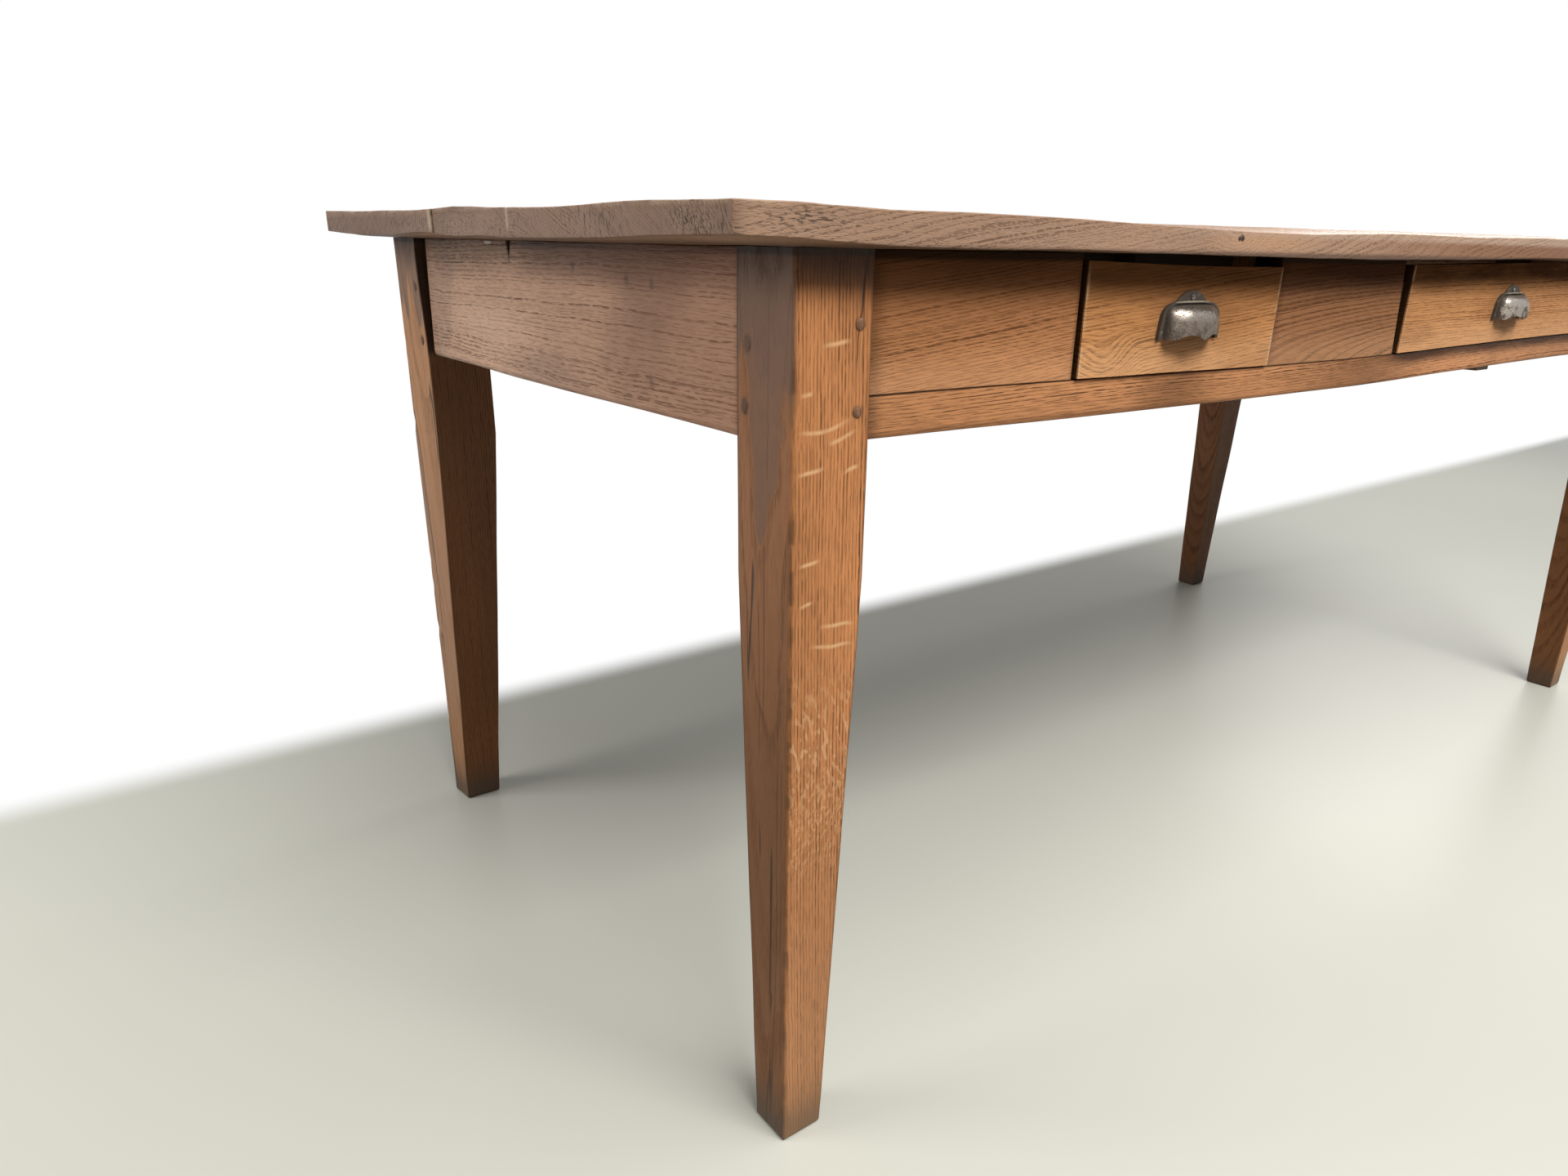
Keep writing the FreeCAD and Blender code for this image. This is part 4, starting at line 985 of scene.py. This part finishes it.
for drawer, facts in drawer_facts.items():
    low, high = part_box(drawer + "_front")
    front = bmesh.new()
    front.from_mesh(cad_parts[drawer + "_front"].data)
    bmesh.ops.remove_doubles(front, verts=front.verts, dist=1e-5)
    bmesh.ops.dissolve_limit(front, angle_limit=math.radians(1.0), verts=front.verts, edges=front.edges)
    face_edges = [edge for edge in front.edges if edge.calc_length() > 0.05
                  and all(vertex.co.y < low.y + 0.0005 for vertex in edge.verts)]
    take_off(front, face_edges, drawer_edge, 3)
    cut_across(front, 0, between(low.x, high.x, 10))
    follow_rail(front, low.z, high.z)
    for vertex in front.verts:
        up_share = max(0.0, (vertex.co.z - low.z) / (high.z - low.z) - lift_from) / (1 - lift_from)
        right_share = 1 - ((high.x - vertex.co.x) / (high.x - low.x)) ** 2
        vertex.co.z += up_share * (facts["top"][0] * (1 - right_share) + facts["top"][1] * right_share)
        vertex.co += unevenness(vertex.co, 9.0, 0.0005)
    wood = Oak("oak_" + drawer + "_front", "x", facts["heart"], drawer_late, drawer_early,
               ring=facts["ring"], wander=facts["wander"], curl=0.0012, contrast=0.95, pores=0.9,
               pore_length=0.013, tilt=facts["tilt"], knots=facts["knots"], seed=facts["seed"])
    x, y, z = wood.axes
    # Painted shade: darker towards the top, under the overhanging top; the share is given per drawer.
    wood.stain(drawer_shade, z.rise(0.640, 0.708) * facts["upper_shade_share"])
    front_face = y.rise(low.y + 0.0024, low.y + 0.0010)
    # Painted light: the lower part of the face is paler.
    wood.stain(drawer_lit_pale, z.rise(0.672, 0.638) * 0.40)
    stained = wood.speckle(6.0, 30.0, 3.0, 0.2).rise(0.46, 0.66)
    wood.stain(drawer_stain, stained * 0.32)
    under_top = z.rise(0.684, 0.716)
    # Painted shadow of the overhanging top, mostly on the face, its share given per drawer.
    wood.soil_and_shade(under_top * (0.25 + 0.75 * front_face), shadow_brown, facts["top_shadow_share"])
    wood.roughness = wood.roughness + under_top * 0.4
    # Painted shade on the ends, behind the face, in the gaps beside the panels.
    ends = close_to_ends(x, low, high, 0.009, 0.006)
    behind = y.rise(low.y + 0.0010, low.y + 0.0018) * y.rise(low.y + 0.014, low.y + 0.010)
    wood.stain(marks_and_gap_shade_dark, ends * behind * 0.9)
    handle = x.near((low.x + high.x) / 2, 0.075) * z.near(0.675, 0.04)
    wood.soil_and_shade(handle, hand_brown, 0.45)
    rubbed = x.near(low.x, 0.004).most(x.near(high.x, 0.004)) * y.rise(low.y + 0.0012, low.y + 0.0004)
    wood.wear(rubbed, drawer_rubbed, 0.6)
    wood.stain(shadow_brown, z.rise(0.712, 0.715) * behind * 0.7)
    put_in_place(drawer + "_front_oak", front, drawer, [drawer + "_front"],
                 wood.done(shine=0.05))


# Drawer boxes
# Thin oak sides dovetailed into the fronts, a back let into the sides and a bottom slid into grooves.
# The wide drawer also has a bearing strip glued under its bottom. All of it is bare wood.
for drawer in drawer_facts:
    wood = Oak("oak_" + drawer + "_sides", "y", (0.50, 0.02), inner_late, inner_early, ring=0.0036,
               wander=0.02, seed=len(drawer) * 2.3)
    wood.soil_and_shade(wood.axes[2].rise(0.690, 0.712), polish_and_shade_dark, 0.35)
    dress([drawer + "_side_left", drawer + "_side_right"], wood.done(shine=0.06))
    wood = Oak("oak_" + drawer + "_bottom", "x", (0.12, 0.50), inner_late, inner_early, ring=0.0050,
               wander=0.03, seed=len(drawer) * 3.1)
    # Painted shade: near black towards the top, where the back is seen through the gap above the front.
    wood.soil_and_shade(wood.axes[2].rise(0.685, 0.706), marks_and_gap_shade_dark, 1.2)
    dress([drawer + "_back", drawer + "_bottom"], wood.done(shine=0.06))
wood = Oak("oak_bearing_strip", "y", (0.50, 0.2), inner_late, inner_early, ring=0.003, wander=0.01,
           seed=37.0)
dress(["wide_drawer_bearing_strip"], wood.done())


# Cup pulls
# Cast iron half cups on a flange with a raised rim and a low crest, open below for the fingers.
# The plating is rubbed bright on the shoulder, pitted and rusty low down and dark in the corners.
pull_face_y = -0.392
pull_tip_z = 0.6608
cup_half_width = 0.0365
cup_reach = 0.0200
cup_rise = 0.0280
cup_wall = 0.0020
crown_share = 0.72
cup_squareness = 0.62
cup_bluntness = 0.9
arch_middle = 0.0158
arch_half = 0.0152
arch_rise = 0.0042
arch_fade = 1.5
flange_depth = 0.0020
rim_depth = 0.0034
rim_width = 0.0016
rim_slope = 0.0012
flange_width = 0.0110
flange_half_width = 0.0445
flange_height = 0.0315
flange_inner_rise = 0.80
flange_half = ((0.0, flange_height), (0.0120, 0.0313), (0.0240, 0.0308), (0.0312, 0.0293), (0.0362, 0.0272),
               (0.0400, 0.0238), (0.0420, 0.020), (0.0431, 0.013), (0.0440, 0.006), (flange_half_width, 0.0))
flange_outline = [(-x, z) for x, z in flange_half[:0:-1]] + list(flange_half)
crest_radius = 0.0314
crest_centre_z = 0.0086
crest_foot_z = 0.0285
crest_depth = 0.0015
iron_dirt = (0.085, 0.070, 0.056, 1)
iron_rust = (0.13, 0.062, 0.032, 1)
iron_rubbed = (0.50, 0.47, 0.435, 1)
rim_bright = (0.60, 0.54, 0.40, 1)


def only(parts, kind):
    """The parts of one kind, out of what an operator made."""
    return [part for part in parts if isinstance(part, kind)]


def pull_cup(shape):
    """The half cup: a bent grid with two arches in its lip, given a wall."""
    made = bmesh.ops.create_grid(shape, x_segments=44, y_segments=22, size=1.0)
    for vertex in made["verts"]:
        around = math.pi * (1 + vertex.co.x) / 2
        climb = math.pi / 2 * (1 + vertex.co.y) / 2
        height = math.sin(climb) ** cup_squareness
        closing = max(0.0, math.cos(climb)) ** cup_squareness
        width = cup_half_width * (crown_share + (1 - crown_share) * closing)
        x = -math.cos(around) * width
        y = -math.sin(around) ** cup_bluntness * cup_reach * closing
        from_arch = min(1.0, abs(abs(x) - arch_middle) / arch_half)
        z = cup_rise * height + arch_rise * (1 - from_arch ** 2) * (1 - height) ** arch_fade
        vertex.co = Vector((x, y, z))
    faces = list({face for vertex in made["verts"] for face in vertex.link_faces})
    bmesh.ops.recalc_face_normals(shape, faces=faces)
    if sum(face.normal.y for face in faces) > 0:
        bmesh.ops.reverse_faces(shape, faces=faces)
    bmesh.ops.solidify(shape, geom=faces, thickness=cup_wall)


def pull_flange(shape):
    """The flange round the cup, with a raised rim at its outer edge."""
    outer = [shape.verts.new((x, 0.0, z)) for x, z in flange_outline]
    edges = [shape.edges.new(pair) for pair in zip(outer, outer[1:])]
    columns = [outer]
    for inward in (rim_width, rim_width + rim_slope, flange_width):
        made = bmesh.ops.extrude_edge_only(shape, edges=edges)["geom"]
        edges = [edge for edge in only(made, bmesh.types.BMEdge)
                 if all(vertex not in columns[-1] for vertex in edge.verts)]
        ring = only(made, bmesh.types.BMVert)
        for vertex in ring:
            x, z = min(flange_outline, key=lambda spot: math.dist(spot, (vertex.co.x, vertex.co.z)))
            vertex.co.x = x * (1 - inward / flange_half_width)
            vertex.co.z = z * (1 - inward / flange_height if inward < flange_width else flange_inner_rise)
        columns.append(ring)
    plate = list({face for ring in columns for vertex in ring for face in vertex.link_faces})
    made = bmesh.ops.extrude_face_region(shape, geom=plate)["geom"]
    rim_spots = {(round(vertex.co.x, 6), round(vertex.co.z, 6)) for ring in columns[:2] for vertex in ring}
    for vertex in only(made, bmesh.types.BMVert):
        raised = (round(vertex.co.x, 6), round(vertex.co.z, 6)) in rim_spots
        vertex.co.y -= rim_depth if raised else flange_depth


def pull_crest(shape):
    """The low arched tab behind the rim, for the middle screw."""
    made = bmesh.ops.create_circle(shape, cap_ends=True, segments=64, radius=crest_radius,
                                   matrix=Matrix.Rotation(math.pi / 2, 4, "X"))
    bmesh.ops.translate(shape, vec=(0, 0, crest_centre_z), verts=made["verts"])
    parts = made["verts"] + list({edge for vertex in made["verts"] for edge in vertex.link_edges})
    parts += list({face for vertex in made["verts"] for face in vertex.link_faces})
    cut = bmesh.ops.bisect_plane(shape, geom=parts, dist=1e-6, plane_co=(0, 0, crest_foot_z),
                                 plane_no=(0, 0, 1), clear_inner=True)
    tab = only(cut["geom"], bmesh.types.BMFace)
    made = bmesh.ops.extrude_face_region(shape, geom=tab)["geom"]
    bmesh.ops.translate(shape, vec=(0, -crest_depth, 0), verts=only(made, bmesh.types.BMVert))


def worn_iron(name, bright):
    """Old plated iron, rubbed, pitted and dirty."""
    material, surface, place = new_material(name)
    y, z = place.axes()[1:]
    blotch = place.cloud(110.0, 5.0, 0.65)
    pits = place.cloud(620.0, 3.0)
    streak = place.cloud(300.0, 2.0)
    low = z.rise(pull_tip_z + 0.022, pull_tip_z + 0.002)
    back = y.rise(pull_face_y - 0.010, pull_face_y - 0.001)
    rubbed = z.near(pull_tip_z + 0.0225, 0.009) * y.rise(pull_face_y - 0.004, pull_face_y - 0.014)
    dirty = (blotch + low * 0.12 + back * 0.28 - rubbed * 0.25).rise(0.50, 0.72)
    pitted = (pits + low * 0.06).rise(0.56, 0.66)
    rim = z.near(pull_tip_z + 0.0311, 0.0013) * y.near(pull_face_y - rim_depth, 0.0012)
    colour = place.plain(bright).tint(iron_dirt, dirty).tint(iron_rust, pitted * 0.55)
    colour = colour.tint(iron_rubbed, rubbed * 0.35).shade(0.7 + 0.6 * streak)
    colour.tint(rim_bright, rim * 0.8).feed(surface, "Base Color")
    (0.40 + dirty * 0.25 + pitted * 0.2 - rubbed * 0.1).feed(surface, "Roughness")
    (0.92 - dirty * 0.35 - pitted * 0.3).feed(surface, "Metallic")
    (blotch * 0.5 - pitted * 0.8).relief(0.0005, 0.6).feed(surface, "Normal")
    return material


pull_finishes = {"small_drawer": (0.25, 0.208, 0.170, 1), "wide_drawer": (0.46, 0.405, 0.355, 1)}
for drawer, bright in pull_finishes.items():
    low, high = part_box(drawer + "_pull")
    middle_x = (low.x + high.x) / 2
    pull = bmesh.new()
    pull_cup(pull)
    pull_flange(pull)
    pull_crest(pull)
    bmesh.ops.translate(pull, vec=(middle_x, pull_face_y, pull_tip_z), verts=pull.verts)
    for vertex in pull.verts:
        if vertex.co.y < pull_face_y - touch:
            vertex.co += unevenness(vertex.co, 130.0, 0.0004)
    put_in_place(drawer + "_pull_iron", pull, drawer, [drawer + "_pull"],
                 worn_iron("worn_iron_" + drawer, bright))


# Pull screws
# Round-headed iron screws through the flange tips and the crest, with worn slots.
screw_head_radius = 0.0028
screw_head_depth = 0.0014
screw_spots = ((0.0, 0.0345, 0.0), (-0.0405, 0.005, 0.7), (0.0405, 0.005, -0.4))
screw_head_flat = -0.8
screw_head_seat = 0.35
screw_grey = (0.22, 0.21, 0.20, 1)
screw_rust = (0.08, 0.045, 0.03, 1)
slot_reach = 0.0007
slot_depth = 0.0007
slot_from_y = -0.0006
for drawer in drawer_facts:
    low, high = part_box(drawer + "_pull")
    middle_x = (low.x + high.x) / 2
    screws = bmesh.new()
    for spot_x, spot_z, turned in screw_spots:
        head = bmesh.ops.create_uvsphere(screws, u_segments=20, v_segments=10, radius=screw_head_radius)
        place = Vector((middle_x + spot_x, pull_face_y - flange_depth, pull_tip_z + spot_z))
        for vertex in head["verts"]:
            out = max(screw_head_flat, min(screw_head_seat, vertex.co.y / screw_head_radius))
            vertex.co.y = out * screw_head_depth
            across = vertex.co.x * math.cos(turned) + vertex.co.z * math.sin(turned)
            if abs(across) < slot_reach and vertex.co.y < slot_from_y:
                vertex.co.y += slot_depth
            vertex.co += place
    put_in_place(drawer + "_pull_screws_iron", screws, drawer, [drawer + "_pull_screws"],
                 dull_steel("iron_screws_" + drawer, screw_grey, screw_rust, 0.45))


# Floor, light and camera
# A plain pale floor, four soft lamps and an even white surround, seen from where the photograph was taken.
floor_half_size = 9.0
floor_dull = (0.30, 0.285, 0.25, 1)
floor_pale = (0.63, 0.635, 0.565, 1)
surround_glow = 0.16
front_lamp_white = (1.0, 0.98, 0.95)
lamp_white = (1.0, 0.98, 0.96)
camera_place = (-1.3059, -0.9463, 0.7323)


def light_rays(start):
    """The camera's own rays, those that are mirrored and those that pass through."""
    return [start.add("ShaderNodeLightPath", {}, {}, "Is " + kind + " Ray")
            for kind in ("Camera", "Glossy", "Transmission")]


floor_shape = bmesh.new()
bmesh.ops.create_grid(floor_shape, x_segments=1, y_segments=1, size=floor_half_size)
floor_mesh = bpy.data.meshes.new("floor")
floor_shape.to_mesh(floor_mesh)
floor_shape.free()
floor = bpy.data.objects.new("floor", floor_mesh)
bpy.context.scene.collection.objects.link(floor)
floor_paint, surface, place = new_material("pale_floor")
tree = floor_paint.node_tree
floor_x, floor_y = place.axes()[:2]
seen, mirrored, crossing = light_rays(place)
looking = seen.most(mirrored).most(crossing)
clouds = 0.94 + 0.12 * place.cloud(1.3, 4.0)
place.plain(floor_dull).tint(floor_pale, looking).shade(clouds).feed(surface, "Base Color")
surface.inputs["Roughness"].default_value = 0.38
surface.inputs["Specular IOR Level"].default_value = 0.3
white = place.add("ShaderNodeEmission", {}, {"Color": (1, 1, 1, 1), "Strength": 1.0})
away = place.math("SQRT", floor_x * floor_x + floor_y * floor_y)
beyond = floor_y.rise(0.62, 0.72).most(away.rise(3.2, 6.5)) * looking
mixed = place.add("ShaderNodeMixShader", {}, {0: beyond, 1: Socket(tree, surface.outputs[0]), 2: white})
mixed.feed(tree.nodes["Material Output"], "Surface")
floor_mesh.materials.append(floor_paint)

world = bpy.data.worlds.new("white_surround")
bpy.context.scene.world = world
world.use_nodes = True
background = world.node_tree.nodes["Background"]
background.inputs["Color"].default_value = (1, 1, 1, 1)
seen, mirrored, crossing = light_rays(Socket(world.node_tree))
glow = surround_glow + (1 - surround_glow) * seen.most(crossing).most(mirrored * 0.6)
glow.feed(background, "Strength")


def soft_lamp(name, place, target, size, power, colour):
    """A wide flat lamp at a place, turned to a target."""
    lamp = bpy.data.lights.new(name, "AREA")
    lamp.shape = "RECTANGLE"
    lamp.size, lamp.size_y = size
    lamp.energy = power
    lamp.color = colour
    holder = bpy.data.objects.new(name, lamp)
    bpy.context.scene.collection.objects.link(holder)
    back = Vector(place) - Vector(target)
    holder.matrix_world = Matrix.Translation(place) @ back.to_track_quat("Z", "Y").to_matrix().to_4x4()


soft_lamp("front_softbox", (-0.6, -2.5, 3.0), (-0.3, -0.35, 0.6), (2.6, 0.9), 98.0, front_lamp_white)
soft_lamp("ceiling_softbox", (0.0, -1.5, 3.4), (0.0, -1.5, 0.0), (2.8, 2.0), 62.0, lamp_white)
soft_lamp("left_softbox", (-3.2, 0.9, 1.5), (-0.9, 0.0, 0.60), (1.4, 1.2), 36.0, lamp_white)
soft_lamp("right_softbox", (3.4, 0.8, 1.7), (0.9, 0.0, 0.60), (1.4, 1.2), 19.0, lamp_white)

camera_data = bpy.data.cameras.new("camera")
camera_data.sensor_width = 36.0
camera_data.lens = 23.98
camera_data.shift_x = -0.01488
camera_data.shift_y = 0.0377
camera_data.clip_start = 0.05
camera = bpy.data.objects.new("camera", camera_data)
bpy.context.scene.collection.objects.link(camera)
bpy.context.scene.camera = camera
yaw = math.radians(52.0732)
pitch = math.radians(21.1233)
roll = math.radians(1.1578)
ahead = Vector((math.cos(yaw), math.sin(yaw), 0))
level_right = Vector((math.sin(yaw), -math.cos(yaw), 0))
up = Vector((0, 0, 1))
look = ahead * math.cos(pitch) - up * math.sin(pitch)
level_up = ahead * math.sin(pitch) + up * math.cos(pitch)
right = level_right * math.cos(roll) + level_up * math.sin(roll)
above = level_up * math.cos(roll) - level_right * math.sin(roll)
turn = Matrix((right, above, -look)).transposed().to_4x4()
camera.matrix_world = Matrix.Translation(camera_place) @ turn
bpy.context.scene.view_settings.view_transform = "Standard"
